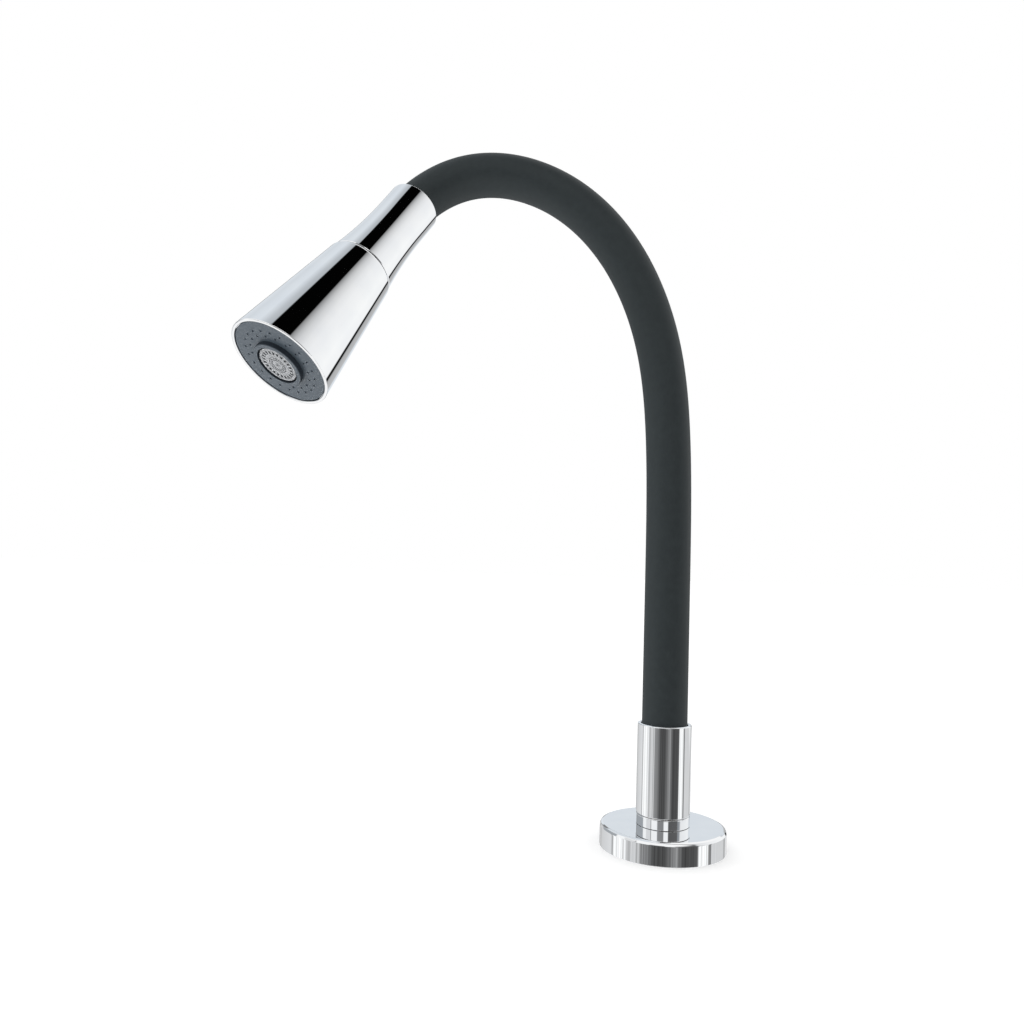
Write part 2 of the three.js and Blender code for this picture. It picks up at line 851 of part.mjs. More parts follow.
const sprayCircle = (neckRadius + cartridgeRadius) / 2 - sprayHoleRadius;
add(head, 'spray_cartridge', cut(cartridge, [
  drill(portOffset, 0, portRadius, hubFloor - overrun, neckTop + overrun),
  ...drillCircle(
    sprayCircle,
    sprayHoleCount,
    sprayHoleRadius,
    hubFloor - overrun,
    neckTop + overrun,
    smallPlan,
  ),
]), acetal);

const diverterRadius = hubBore - seatGap;
const diverter = turned([
  [0, diverterTop],
  [diverterRadius, diverterTop],
  [diverterRadius, diverterFoot],
  [0, diverterFoot],
]);
const sprayGroove = new THREE.BoxGeometry(portRadius * 2, diverterRadius, diverterGroove * 2);
add(head, 'diverter_disc', cut(diverter, [
  drill(portOffset, 0, portRadius, diverterTop - overrun, diverterFoot + overrun),
  drill(0, portOffset, portRadius, diverterTop - overrun, diverterFoot + overrun),
  sprayGroove.translate(0, portOffset + diverterRadius / 2, diverterFoot),
]), slate);

// Bell: the polished cone that the hand turns, with a web that hangs on the cartridge

const plateHole = plateRadius + seatGap;
const slope = (lipRadius - bellSeamRadius) / bellLength;
const bellRadiusAt = (depth) => bellSeamRadius + slope * (depth - bellTop);
const plateLedge = plateBack - seatGap;
const ledgeBore = bellRadiusAt(plateLedge) - bellWall;
const cavityTop = bellRadiusAt(bellWebFoot) - bellWall;
add(head, 'spray_bell', turned([
  [journalBore + seatGap, bellTop],
  [bellSeamRadius, bellTop, bellEdge],
  [lipRadius, faceDepth, lipEdge],
  [plateHole, faceDepth, lipEdge / 2],
  [plateHole, plateLedge],
  [ledgeBore, plateLedge],
  [cavityTop, bellWebFoot],
  [journalBore + seatGap, bellWebFoot],
], finePlan), polished);

// Face: plate with its boss, two rings of nozzles, and a skirt screwed on the cartridge's neck

const skirtBore = neckRadius + seatGap;
const skirtTop = plateBack - plateSkirt;
const plate = turned([
  [bossBore, bossFront],
  [bossRadius, bossFront, bossEdge],
  [bossRadius, plateFront],
  [plateRadius, plateFront, bossEdge / 2],
  [plateRadius, plateBack],
  [skirtBore + plateSkirtWall, plateBack],
  [skirtBore + plateSkirtWall, skirtTop],
  [skirtBore, skirtTop],
  [skirtBore, neckFoot + seatGap],
  [bossBore, neckFoot + seatGap],
], finePlan);
const nozzleCut = [plateBack - overrun, plateFront + overrun];
add(head, 'nozzle_plate', cut(plate, [
  ...drillCircle(outerNozzleCircle, outerNozzleCount, nozzleRadius, ...nozzleCut, smallPlan),
  ...drillCircle(innerNozzleCircle, innerNozzleCount, nozzleRadius, ...nozzleCut, smallPlan),
]), slate);

add(
  head,
  'plate_seal',
  seal(
    ledgeBore - 2 * (plateSealSection + sealGap) - seatGap,
    ledgeBore - seatGap,
    plateBack - faceGap - plateSealSection,
  ),
  rubber,
);

// Aerator: housing in the boss, a grille of slots and holes, a screen and a seal

const aeratorBore = aeratorRadius - aeratorRim;
const grilleRadius = aeratorBore - seatGap;
const grilleBack = aeratorFront - grilleThickness;
const screenFoot = grilleBack - seatGap;
add(head, 'aerator_housing', turned([
  [aeratorBore, aeratorTop],
  [aeratorRadius, aeratorTop],
  [aeratorRadius, aeratorFront, aeratorRecess / 2],
  [aeratorBore, aeratorFront],
], finePlan), paleGrey);

function grilleSlots() {
  return Array.from({ length: grilleSlotCount }, (_, i) => {
    const angle = (2 * Math.PI * i) / grilleSlotCount;
    const depth = grilleThickness + 2 * overrun;
    const slot = new THREE.BoxGeometry(grilleSlotLength, grilleSlotWidth, depth);
    return slot.translate(grilleSlotCircle, 0, grilleBack + grilleThickness / 2).rotateZ(angle);
  });
}

const grilleCut = [grilleBack - overrun, aeratorFront + overrun];
add(head, 'aerator_grille', cut(
  turned([[0, grilleBack], [grilleRadius, grilleBack], [grilleRadius, aeratorFront], [0, aeratorFront]]),
  [
    ...grilleSlots(),
    ...grilleCircleShares.flatMap(({ radius, count }) => (
      drillCircle(radius * grilleRadius, count, grilleHoleRadius, ...grilleCut, smallPlan)
    )),
  ],
), paleGrey);

const screen = turned([
  [0, screenFoot - screenThickness],
  [grilleRadius, screenFoot - screenThickness],
  [grilleRadius, screenFoot],
  [0, screenFoot],
]);
add(head, 'aerator_screen', cut(screen, drillCircle(
  screenCircle,
  screenHoleCount,
  screenHoleRadius,
  screenFoot - screenThickness - overrun,
  screenFoot + overrun,
  smallPlan,
)), steel);
add(
  head,
  'aerator_seal',
  ring(aeratorRadius, aeratorBore - aeratorLedge, aeratorSealTop, aeratorSealTop + aeratorSealHeight),
  rubber,
);

export default faucet;
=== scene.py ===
"""A flexible kitchen spout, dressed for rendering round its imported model.

Sizes are written in millimetres and become metres as each mesh is made. The floor and the lamps
are in metres. What the polish mirrors is in degrees and in display levels from 0 to 1.
"""

import json
import math

import bmesh
import bpy
import numpy as np
from mathutils import Matrix, Vector


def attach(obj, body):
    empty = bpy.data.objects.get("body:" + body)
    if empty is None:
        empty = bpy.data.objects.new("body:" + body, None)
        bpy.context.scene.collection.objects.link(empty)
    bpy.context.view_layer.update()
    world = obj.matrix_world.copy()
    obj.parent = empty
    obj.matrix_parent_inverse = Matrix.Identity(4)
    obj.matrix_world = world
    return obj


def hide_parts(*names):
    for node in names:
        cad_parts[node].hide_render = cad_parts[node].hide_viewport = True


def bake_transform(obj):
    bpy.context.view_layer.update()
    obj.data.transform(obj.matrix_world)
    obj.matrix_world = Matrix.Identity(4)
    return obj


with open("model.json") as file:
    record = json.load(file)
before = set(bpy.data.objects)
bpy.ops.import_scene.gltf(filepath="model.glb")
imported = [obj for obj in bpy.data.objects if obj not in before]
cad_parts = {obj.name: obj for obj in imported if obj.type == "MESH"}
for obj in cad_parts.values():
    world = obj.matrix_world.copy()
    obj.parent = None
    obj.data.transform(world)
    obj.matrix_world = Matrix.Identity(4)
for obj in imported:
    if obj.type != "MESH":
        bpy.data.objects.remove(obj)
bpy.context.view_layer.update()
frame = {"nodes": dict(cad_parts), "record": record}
bpy.context.scene.view_settings.view_transform = "Standard"

MM = 0.001

# Facets
FINE_SIDES = 160
VISIBLE_SIDES = FINE_SIDES * 2
PLAIN_SIDES = 64
NUT_SIDES = 180
TIP_SIDES = 20
SEAT_SIDES = 24
HOLE_SIDES = 12
ROUND_STEPS = 8
PIERCED_STEPS = 2
EDGE_LOOP = 0.15  # from an edge to the loop that keeps its shading to itself
LONG_EDGE = 1.2
CREASE = math.radians(28)
HOSE_CREASE = math.radians(60)
MERGE_DISTANCE = 1e-8  # metres

# Rounds of edges, from the sharpest to the softest
LIP_ROUND = 0.06
HAIR_ROUND = 0.1
CRISP_ROUND = 0.15
FINE_ROUND = 0.2
SMALL_ROUND = 0.3
RIM_ROUND = 0.35
EASED_ROUND = 0.4
BOSS_ROUND = 0.45
SOFT_ROUND = 0.5
RUBBER_ROUND = 0.6
WIDE_ROUND = 0.8
SHOULDER_ROUND = 1.1

# Sizes of the base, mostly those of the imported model
FLANGE_RADIUS = 30
FLANGE_HEIGHT = 10.8
FLANGE_WALL = 3.2
FLANGE_EDGE = [(0, 1.5), (0.5, 0.45), (1.4, 0)]  # in from the side and down from the top
NECK_FOOT = 2.3  # of the flange's inner neck, round the shank
SEAT_RADIUS = 11.9
SEAT_FLOOR = 9.6
GASKET_BORE = 19.5
GASKET_RADIUS = 26.5
GASKET_HEIGHT = 2.2
SHANK_RADIUS = 10.45
SHANK_HOLE = 10.75
SHANK_LENGTH = 52
WATER_BORE = 5.5
THREAD_PITCH = 1.814
THREAD_DEPTH = 1.1
THREAD_STEPS = 8
THREAD_MARGIN = 1  # plain length at both ends of the shank
FLANK_STEEPNESS = 1.4
CREST_SHARE = 0.2
SHOULDER_RADIUS = 11.6
SHOULDER_FOOT = 9.7
SHOULDER_TOP = 11.5
SHOULDER_CHAMFER = 0.15
POST_RADIUS = 8.6
POST_TOP = 36.4
POST_CHAMFER = 0.5
STEM_LOOP = 0.1  # from a step of the stem to the loop beside it
SEAL_MIDDLES = (22.3, 27.3)
SEAL_FLOOR = 7.1
SEAL_HALF = 1.12
CLIP_FLOOR = 7.6
CLIP_FOOT = 31.6
CLIP_TOP = 33
DECK_UNDERSIDE = -30
RUBBER_RADIUS = 24
RUBBER_FOOT = -33
METAL_RADIUS = 21
METAL_TOP = -33.1
METAL_FOOT = -34.7
NUT_FLATS = 30
NUT_TOP = -34.8
NUT_FOOT = -42.8
NUT_FACE_INSET = 0.4
NUT_CHAMFER = math.tan(math.radians(28))
SLIP_RADIUS = 11.2
SLIP_FOOT = 11.6
SLIP_TOP = 12.1
SWIVEL_BORE = 8.85
RING_RADIUS = 12.75
RING_FOOT = 12.2
RING_SKIRT_BORE = 11.9
RING_SKIRT_FOOT = 10.93
RING_TOP = 15.8
SPIGOT_RADIUS = 10.65
SPIGOT_TOP = 19.8
SLEEVE_RADIUS = 12.9
SLEEVE_BORE = 12
SLEEVE_FOOT = 16.05
SLEEVE_TOP = 58.55
SLEEVE_RIM_MOUTH = 11.3
SLEEVE_RIM_FOOT = 57.05

# Sizes and route of the hose
HOSE_SEAT = 45.9
HOSE_RADIUS = 10.9
COVER_BORE = 9.3
WINDING_RADIUS = 8.6
WINDING_BORE = 6.6
WINDING_PITCH = 5
WINDING_GROOVE = 0.7
GROOVE_SHARPNESS = 3
TUBE_RADIUS = 5
TUBE_BORE = 3.5
COVER_MESH = (1.5, 96)  # step along the hose, and sides
WINDING_MESH = (0.7, 32)
TUBE_MESH = (3, 24)
INNER_FROM = 3.3
FOOT_LENGTH = 4.1
BEND_LENGTH = 378.5
TAIL_LENGTH = 17
MOUTH_TO_HOSE_END = 22
BEND_POINTS = 7
ROUTE_STEPS = 800
FORWARD_TURNS = [0, 0, 0, 1.5, 4, 12, 15.5, 20.5, 29, 47, 41]  # degrees per tenth of the bend
SIDE_TURNS = [0, 0, 0, 0, 0, 0, 0, -4, 3, 9, 42]

# Sizes of the head, whose heights are measured from the collar's mouth to the face
COLLAR_LENGTH = 51.5
COLLAR_MOUTH = 13.15
COLLAR_BORE = 11.7
COLLAR_SEAM = 16
COLLAR_STRAIGHT = 12.9
COLLAR_FLARE_STEPS = 48
COLLAR_LIP = [(0.15, 0.12), (0.5, 0)]  # in from the seam and up from the collar's end
COLLAR_LIP_LENGTH = 0.4
COLLAR_LOW_BORE = 12.9
COLLAR_WEB_BORE = 7.8
COLLAR_WEB_TOP = 25.6
COLLAR_WEB_FOOT = 28.6
BELL_TOP = 51.9
BELL_SEAM = 16.6
BELL_THROAT = 11.05
BELL_WEB = 1.3
BELL_WALL = 1.9  # measured across the axis
LIP_RADIUS = 24.6
FACE = 118.5
PLATE_RADIUS = 22.85
PLATE_FRONT = 117.9
PLATE_THICKNESS = 2.4
PLATE_GAP = 0.3
PLATE_EDGE = 0.2
NOZZLE_RINGS = [(17.8, 22, 0.91), (15.1, 18, 0.25)]  # radius, count, share of a step to the first
TIP_RADIUS = 0.72
TIP_BORE = 0.42
TIP_GAP = 0.06
TIP_STAND = 0.12
TIP_DEPTH = 1.6
BOSS_RADIUS = 12.1
BOSS_BORE = 10.05
BOSS_FRONT = 120.25
BOSS_OVERLAP = 0.6  # how far the boss and the plate run into each other
BOSS_TAPER = 0.3
BOSS_SKIRT_RADIUS = 13.2
BOSS_SKIRT_BORE = 11
BOSS_SKIRT_TOP = 103.7
BOSS_WEB_FOOT = 105.3
BOSS_LEAN = 0.5  # the cosine under which a face counts as a wall, which gets painted shade
AERATOR_RADIUS = 9.4
AERATOR_FRONT = 119.65
AERATOR_TOP = 106.9
AERATOR_BORE = 8.1
GRILLE_RADIUS = 8.05
GRILLE_SETBACK = 0.05
GRILLE_EDGE = 0.05
GRILLE_THICKNESS = 0.45
SLOT_CIRCLE = 7.1
SLOT_COUNT = 22
SLOT_LENGTH = 1.6
SLOT_WIDTH = 1.2
SLOT_NARROWING = 0.8
HOLE_RINGS = [(4.25, 32, 0.28), (3.5, 26, 0.28), (2.75, 21, 0.28), (0.75, 7, 0.22), (0, 1, 0.3)]
DRUM_MARGIN = 0.1
DRUM_SETBACK = 0.1
DRUM_DEPTH = 1.6
DRUM_FLARE = 1.2
# the cosine under which a face of the drum counts as a wall, which gets painted light
DRUM_LEAN = 0.8
# a dark disc behind the drum, painted shade for what the slots show
WELL_RADIUS = 7.9
WELL_DEPTHS = (2.2, 1.8)


# Shapes


def rounded(before, corner, after, reach):
    """Points of a round that starts `reach` from a corner between two straight edges."""
    p, a, b = (np.array(v[:2], float) for v in (corner, before, after))
    u = (a - p) / np.linalg.norm(a - p)
    v = (b - p) / np.linalg.norm(b - p)
    half = math.acos(float(np.clip(u @ v, -1, 1))) / 2
    centre = p + (u + v) / np.linalg.norm(u + v) * reach / math.cos(half)
    start, end = p + u * reach - centre, p + v * reach - centre
    sweep = math.pi - 2 * half
    shares = [i / ROUND_STEPS for i in range(ROUND_STEPS + 1)]
    return [
        centre + (math.sin((1 - t) * sweep) * start + math.sin(t * sweep) * end) / math.sin(sweep)
        for t in shares
    ]


def outline(corners):
    """Points [radius, height] of a closed outline, with rounds and with loops beside long edges."""
    points = []
    for i, corner in enumerate(corners):
        if len(corner) > 2:
            before, after = corners[i - 1], corners[(i + 1) % len(corners)]
            points.extend(rounded(before, corner, after, corner[2]))
        else:
            points.append(np.array(corner, float))
    looped = []
    for p, q in zip(points, points[1:] + points[:1]):
        looped.append(p)
        length = np.linalg.norm(q - p)
        if length > LONG_EDGE:
            looped.append(p + (q - p) * EDGE_LOOP / length)
            looped.append(q - (q - p) * EDGE_LOOP / length)
    return looped


def make_object(name, vertices, faces, place=None, crease=CREASE):
    """A smooth-shaded mesh object from vertices in millimetres."""
    mesh = bpy.data.meshes.new(name)
    mesh.from_pydata((np.asarray(vertices, float) * MM).tolist(), [], faces)
    work = bmesh.new()
    work.from_mesh(mesh)
    bmesh.ops.remove_doubles(work, verts=work.verts, dist=MERGE_DISTANCE)
    bmesh.ops.dissolve_degenerate(work, edges=work.edges, dist=MERGE_DISTANCE)
    bmesh.ops.recalc_face_normals(work, faces=work.faces)
    work.to_mesh(mesh)
    work.free()
    if place is not None:
        mesh.transform(place)
    mesh.shade_smooth()
    mesh.set_sharp_from_angle(angle=crease)
    made = bpy.data.objects.new(name, mesh)
    bpy.context.collection.objects.link(made)
    return made


def grid_faces(rows, sides, first=0, closed=False):
    """Quads between neighbouring rings of vertices."""
    faces = []
    for i in range(rows if closed else rows - 1):
        low, high = first + i * sides, first + (i + 1) % rows * sides
        for j in range(sides):
            k = (j + 1) % sides
            faces.append((low + j, low + k, high + k, high + j))
    return faces


def revolved(corners, sides):
    """Vertices and faces of an outline turned about Z."""
    points = outline(corners)
    angles = np.arange(sides) * 2 * math.pi / sides
    vertices = [(r * math.cos(a), r * math.sin(a), z) for r, z in points for a in angles]
    return vertices, grid_faces(len(points), sides, closed=True)


def lathe(name, corners, place=None, sides=FINE_SIDES):
    """One object turned about Z from an outline's corners, each (radius, height[, round])."""
    vertices, faces = revolved(corners, sides)
    return make_object(name, vertices, faces, place)


def joined(name, parts, place=None):
    """One object from several (vertices, faces) pairs."""
    vertices, faces = [], []
    for part_vertices, part_faces in parts:
        first = len(vertices)
        vertices.extend(part_vertices)
        faces.extend(tuple(first + i for i in face) for face in part_faces)
    return make_object(name, vertices, faces, place)


def moved(part, x, y):
    """A (vertices, faces) pair shifted across Z."""
    vertices, faces = part
    return [(vx + x, vy + y, vz) for vx, vy, vz in vertices], faces


def circle(radius, sides=FINE_SIDES, x=0, y=0):
    """Points (x, y) of a loop."""
    angles = np.arange(sides) * 2 * math.pi / sides
    return [(x + radius * math.cos(a), y + radius * math.sin(a)) for a in angles]


def around(radius, count, offset=0):
    """Places at even steps round a circle, as (x, y, angle)."""
    steps = [offset + 2 * math.pi * i / count for i in range(count)]
    return [(radius * math.cos(a), radius * math.sin(a), a) for a in steps]


def pierced(name, loops, back, front, edge, place):
    """A flat plate with holes, its edges rounded by `edge`, between two heights."""
    curve = bpy.data.curves.new(name, "CURVE")
    curve.dimensions = "2D"
    curve.fill_mode = "BOTH"
    curve.extrude = ((front - back) / 2 - edge) * MM
    curve.bevel_depth = edge * MM
    curve.bevel_resolution = PIERCED_STEPS
    for loop in loops:
        spline = curve.splines.new("POLY")
        spline.points.add(len(loop) - 1)
        for point, (x, y) in zip(spline.points, loop):
            point.co = (x * MM, y * MM, 0, 1)
        spline.use_cyclic_u = True
    holder = bpy.data.objects.new(name + "_curve", curve)
    bpy.context.collection.objects.link(holder)
    seen = holder.evaluated_get(bpy.context.evaluated_depsgraph_get())
    mesh = bpy.data.meshes.new_from_object(seen)
    bpy.data.objects.remove(holder)
    bpy.data.curves.remove(curve)
    mesh.name = name
    mesh.transform(Matrix.Translation((0, 0, (front + back) / 2 * MM)))
    mesh.transform(place)
    mesh.shade_smooth()
    mesh.set_sharp_from_angle(angle=CREASE)
    made = bpy.data.objects.new(name, mesh)
    bpy.context.collection.objects.link(made)
    return made


# Materials


def new_material(name):
    made = bpy.data.materials.new(name)
    made.use_nodes = True
    return made, made.node_tree.nodes, made.node_tree.links


def noise_node(nodes, links, scale, detail):
    coordinates = nodes.new("ShaderNodeTexCoord")
    noise = nodes.new("ShaderNodeTexNoise")
    noise.inputs["Scale"].default_value = scale
    noise.inputs["Detail"].default_value = detail
    links.new(coordinates.outputs["Object"], noise.inputs["Vector"])
    return noise.outputs["Fac"]


def ramp_node(nodes, links, factor, stops):
    """A colour ramp from (place, colour) stops."""
    ramp = nodes.new("ShaderNodeValToRGB")
    elements = ramp.color_ramp.elements
    while len(elements) < len(stops):
        elements.new(0.5)
    for element, (place, colour) in zip(elements, stops):
        element.position = place
        element.color = (*colour, 1)
    links.new(factor, ramp.inputs["Fac"])
    return ramp.outputs["Color"]


def range_node(nodes, links, value, low, high):
    """A value from 0 to 1 spread between low and high."""
    spread = nodes.new("ShaderNodeMapRange")
    spread.inputs["To Min"].default_value = low
    spread.inputs["To Max"].default_value = high
    links.new(value, spread.inputs["Value"])
    return spread.outputs["Result"]


def bump_node(nodes, links, height, shader, strength, distance):
    bump = nodes.new("ShaderNodeBump")
    bump.inputs["Strength"].default_value = strength
    bump.inputs["Distance"].default_value = distance
    links.new(height, bump.inputs["Height"])
    links.new(bump.outputs["Normal"], shader.inputs["Normal"])


DRIFT_COARSENESS = 8  # how many times coarser the drift of a colour is than the grain
DRIFT_DETAIL = 3
DRIFT_SPAN = (0.3, 0.7)  # the noise levels between which a colour drifts
GRAIN_DETAIL = 5
GRAIN_HEIGHT = 0.0001  # metres


def surface(name, low, high, roughness, grain, depth, metallic=0, specular=0.5):
    """A material whose colour and roughness drift a little, over a fine grain."""
    made, nodes, links = new_material(name)
    shader = nodes["Principled BSDF"]
    shader.inputs["Metallic"].default_value = metallic
    shader.inputs["Specular IOR Level"].default_value = specular
    drift = noise_node(nodes, links, grain / DRIFT_COARSENESS, DRIFT_DETAIL)
    fine = noise_node(nodes, links, grain, GRAIN_DETAIL)
    tone = ramp_node(nodes, links, drift, list(zip(DRIFT_SPAN, (low, high))))
    links.new(tone, shader.inputs["Base Color"])
    links.new(range_node(nodes, links, drift, *roughness), shader.inputs["Roughness"])
    bump_node(nodes, links, fine, shader, depth, GRAIN_HEIGHT)
    return made


POLISH_TONES = [(0.35, (0.9, 0.91, 0.925)), (0.65, (0.935, 0.94, 0.945))]
POLISH_ROUGHNESS = (0.006, 0.018)
POLISH_DRIFT = 90
POLISH_WAVES = 60
POLISH_WAVE_DETAIL = 2
POLISH_WAVE_DEPTH = 0.04
POLISH_WAVE_HEIGHT = 0.0002  # metres


def chrome_material():
    """Polished plating: bright, nearly mirror-smooth, with a faint drift in its polish."""
    made, nodes, links = new_material("polished_chrome")
    shader = nodes["Principled BSDF"]
    shader.inputs["Metallic"].default_value = 1
    drift = noise_node(nodes, links, POLISH_DRIFT, DRIFT_DETAIL)
    links.new(ramp_node(nodes, links, drift, POLISH_TONES), shader.inputs["Base Color"])
    links.new(range_node(nodes, links, drift, *POLISH_ROUGHNESS), shader.inputs["Roughness"])
    waves = noise_node(nodes, links, POLISH_WAVES, POLISH_WAVE_DETAIL)
    bump_node(nodes, links, waves, shader, POLISH_WAVE_DEPTH, POLISH_WAVE_HEIGHT)
    return made


SURFACES = {
    "brass": {
        "low": (0.5, 0.33, 0.11), "high": (0.62, 0.43, 0.17),
        "roughness": (0.25, 0.42), "grain": 900, "depth": 0.1, "metallic": 1,
    },
    "steel": {
        "low": (0.42, 0.42, 0.42), "high": (0.55, 0.55, 0.56),
        "roughness": (0.28, 0.45), "grain": 1200, "depth": 0.12, "metallic": 1,
    },
    "charcoal_silicone": {
        "low": (0.019, 0.026, 0.0285), "high": (0.023, 0.031, 0.0335),
        "roughness": (0.5, 0.62), "grain": 2600, "depth": 0.12, "specular": 0.35,
    },
    "seal_rubber": {
        "low": (0.012, 0.012, 0.012), "high": (0.02, 0.02, 0.02),
        "roughness": (0.6, 0.8), "grain": 1500, "depth": 0.2,
    },
    "tube_plastic": {
        "low": (0.62, 0.6, 0.52), "high": (0.7, 0.68, 0.6),
        "roughness": (0.4, 0.55), "grain": 600, "depth": 0.05,
    },
    "slate_plastic": {
        "low": (0.05, 0.067, 0.085), "high": (0.061, 0.079, 0.097),
        "roughness": (0.38, 0.5), "grain": 2200, "depth": 0.08,
    },
    # painted shade: a darker copy of the slate, for the walls of the face boss
    "painted_shade_slate": {
        "low": (0.022, 0.029, 0.038), "high": (0.028, 0.036, 0.046),
        "roughness": (0.45, 0.55), "grain": 2200, "depth": 0.08, "specular": 0.2,
    },
    # painted shade: written dark so that the grille's slots look shaded behind
    "painted_shade_screen": {
        "low": (0.04, 0.04, 0.04), "high": (0.09, 0.09, 0.09),
        "roughness": (0.5, 0.6), "grain": 9000, "depth": 0.2, "specular": 0.3,
    },
    "pale_grey_plastic": {
        "low": (0.24, 0.25, 0.26), "high": (0.275, 0.285, 0.3),
        "roughness": (0.3, 0.42), "grain": 1800, "depth": 0.05,
    },
    "acetal": {
        "low": (0.75, 0.74, 0.68), "high": (0.8, 0.79, 0.74),
        "roughness": (0.35, 0.5), "grain": 700, "depth": 0.05,
    },
}
MATERIALS = {"polished_chrome": chrome_material()}
MATERIALS.update((name, surface(name, **look)) for name, look in SURFACES.items())


def dress(piece, body, slot, *nodes, material=None):
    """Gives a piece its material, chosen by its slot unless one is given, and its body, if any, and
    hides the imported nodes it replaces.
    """
    piece.data.materials.clear()
    piece.data.materials.append(material or MATERIALS[slot])
    if nodes:
        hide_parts(*nodes)
    if body:
        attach(piece, body)
    return piece


def paint_shading_on_walls(piece, material, lean):
    """Paints shading on the walls of a piece of the head: gives a second material, lighter or darker
    than the first, to the faces along its axis.
    """
    piece.data.materials.append(material)
    for face in piece.data.polygons:
        if abs(face.normal @ Vector(head_z)) < lean:
            face.material_index = 1


# Base: flange, threaded stem, washers and nut

RIM_BORE = FLANGE_RADIUS - FLANGE_WALL
NECK_RADIUS = SHANK_HOLE + FLANGE_WALL
dress(lathe("flange", [
    (SHANK_HOLE, NECK_FOOT),
    (NECK_RADIUS, NECK_FOOT),
    (NECK_RADIUS, FLANGE_HEIGHT - FLANGE_WALL, WIDE_ROUND),
    (RIM_BORE, FLANGE_HEIGHT - FLANGE_WALL, WIDE_ROUND),
    (RIM_BORE, 0, SMALL_ROUND),
    (FLANGE_RADIUS, 0, SMALL_ROUND),
    *[(FLANGE_RADIUS - inward, FLANGE_HEIGHT - down, CRISP_ROUND) for inward, down in FLANGE_EDGE],
    (SEAT_RADIUS, FLANGE_HEIGHT, HAIR_ROUND),
    (SEAT_RADIUS, SEAT_FLOOR),
    (SHANK_HOLE, SEAT_FLOOR),
], sides=VISIBLE_SIDES), "base", "polished_chrome", "base_flange")


def threaded_stem():
    """The stem, its shank cut by one helical thread that fades at both ends."""
    rows = int((SHANK_LENGTH - 2 * THREAD_MARGIN) / THREAD_PITCH * THREAD_STEPS)
    heights = np.linspace(-SHANK_LENGTH + THREAD_MARGIN, -THREAD_MARGIN, rows)
    angles = np.arange(PLAIN_SIDES) * 2 * math.pi / PLAIN_SIDES
    vertices = []

    def ring(radius, height):
        vertices.extend((radius * math.cos(a), radius * math.sin(a), height) for a in angles)

    ring(WATER_BORE, -SHANK_LENGTH)
    ring(SHANK_RADIUS - THREAD_DEPTH, -SHANK_LENGTH)
    for z in heights:
        fade = min(1, (z - heights[0]) / THREAD_PITCH, (heights[-1] - z) / THREAD_PITCH)
        at_end = 1 if z < heights[0] + THREAD_PITCH else 0
        base = SHANK_RADIUS - THREAD_DEPTH * at_end * (1 - fade)
        for a in angles:
            turn = (z / THREAD_PITCH - a / (2 * math.pi)) % 1
            valley = 1 - abs(2 * turn - 1)
            cut = min(1, max(0, FLANK_STEEPNESS * valley - CREST_SHARE))
            radius = base - THREAD_DEPTH * max(0, fade) * cut
            vertices.append((radius * math.cos(a), radius * math.sin(a), z))
    seals = []
    for middle in SEAL_MIDDLES:
        seals += [
            (POST_RADIUS, middle - SEAL_HALF),
            (SEAL_FLOOR, middle - SEAL_HALF),
            (SEAL_FLOOR, middle + SEAL_HALF),
            (POST_RADIUS, middle + SEAL_HALF),
        ]
    for radius, height in [
        (SHANK_RADIUS, STEM_LOOP - THREAD_MARGIN),
        (SHANK_RADIUS, SHOULDER_FOOT - STEM_LOOP),
        (SHANK_RADIUS, SHOULDER_FOOT),
        (SHOULDER_RADIUS - SHOULDER_CHAMFER, SHOULDER_FOOT),
        (SHOULDER_RADIUS, SHOULDER_FOOT + SHOULDER_CHAMFER),
        (SHOULDER_RADIUS, SHOULDER_TOP - SHOULDER_CHAMFER),
        (SHOULDER_RADIUS - SHOULDER_CHAMFER, SHOULDER_TOP),
        (POST_RADIUS, SHOULDER_TOP),
        *seals,
        (POST_RADIUS, CLIP_FOOT),
        (CLIP_FLOOR, CLIP_FOOT),
        (CLIP_FLOOR, CLIP_TOP),
        (POST_RADIUS, CLIP_TOP),
        (POST_RADIUS, POST_TOP - POST_CHAMFER),
        (POST_RADIUS - POST_CHAMFER, POST_TOP),
        (WATER_BORE, POST_TOP),
    ]:
        ring(radius, height)
    count = len(vertices) // PLAIN_SIDES
    return make_object("stem_turned", vertices, grid_faces(count, PLAIN_SIDES, closed=True))


dress(threaded_stem(), "base", "brass", "stem")

dress(lathe("washer_rubber", [
    (SHANK_HOLE, RUBBER_FOOT, SMALL_ROUND),
    (RUBBER_RADIUS, RUBBER_FOOT, RUBBER_ROUND),
    (RUBBER_RADIUS, DECK_UNDERSIDE, RUBBER_ROUND),
    (SHANK_HOLE, DECK_UNDERSIDE, SMALL_ROUND),
]), "base", "seal_rubber", "deck_washer_rubber")
dress(lathe("washer_metal", [
    (SHANK_HOLE, METAL_FOOT, FINE_ROUND),
    (METAL_RADIUS, METAL_FOOT, EASED_ROUND),
    (METAL_RADIUS, METAL_TOP, EASED_ROUND),
    (SHANK_HOLE, METAL_TOP, FINE_ROUND),
]), "base", "steel", "deck_washer_metal")
dress(lathe("gasket", [
    (GASKET_BORE, 0, FINE_ROUND),
    (GASKET_RADIUS, 0, SOFT_ROUND),
    (GASKET_RADIUS, GASKET_HEIGHT, SOFT_ROUND),
    (GASKET_BORE, GASKET_HEIGHT, FINE_ROUND),
]), "base", "seal_rubber", "flange_gasket")


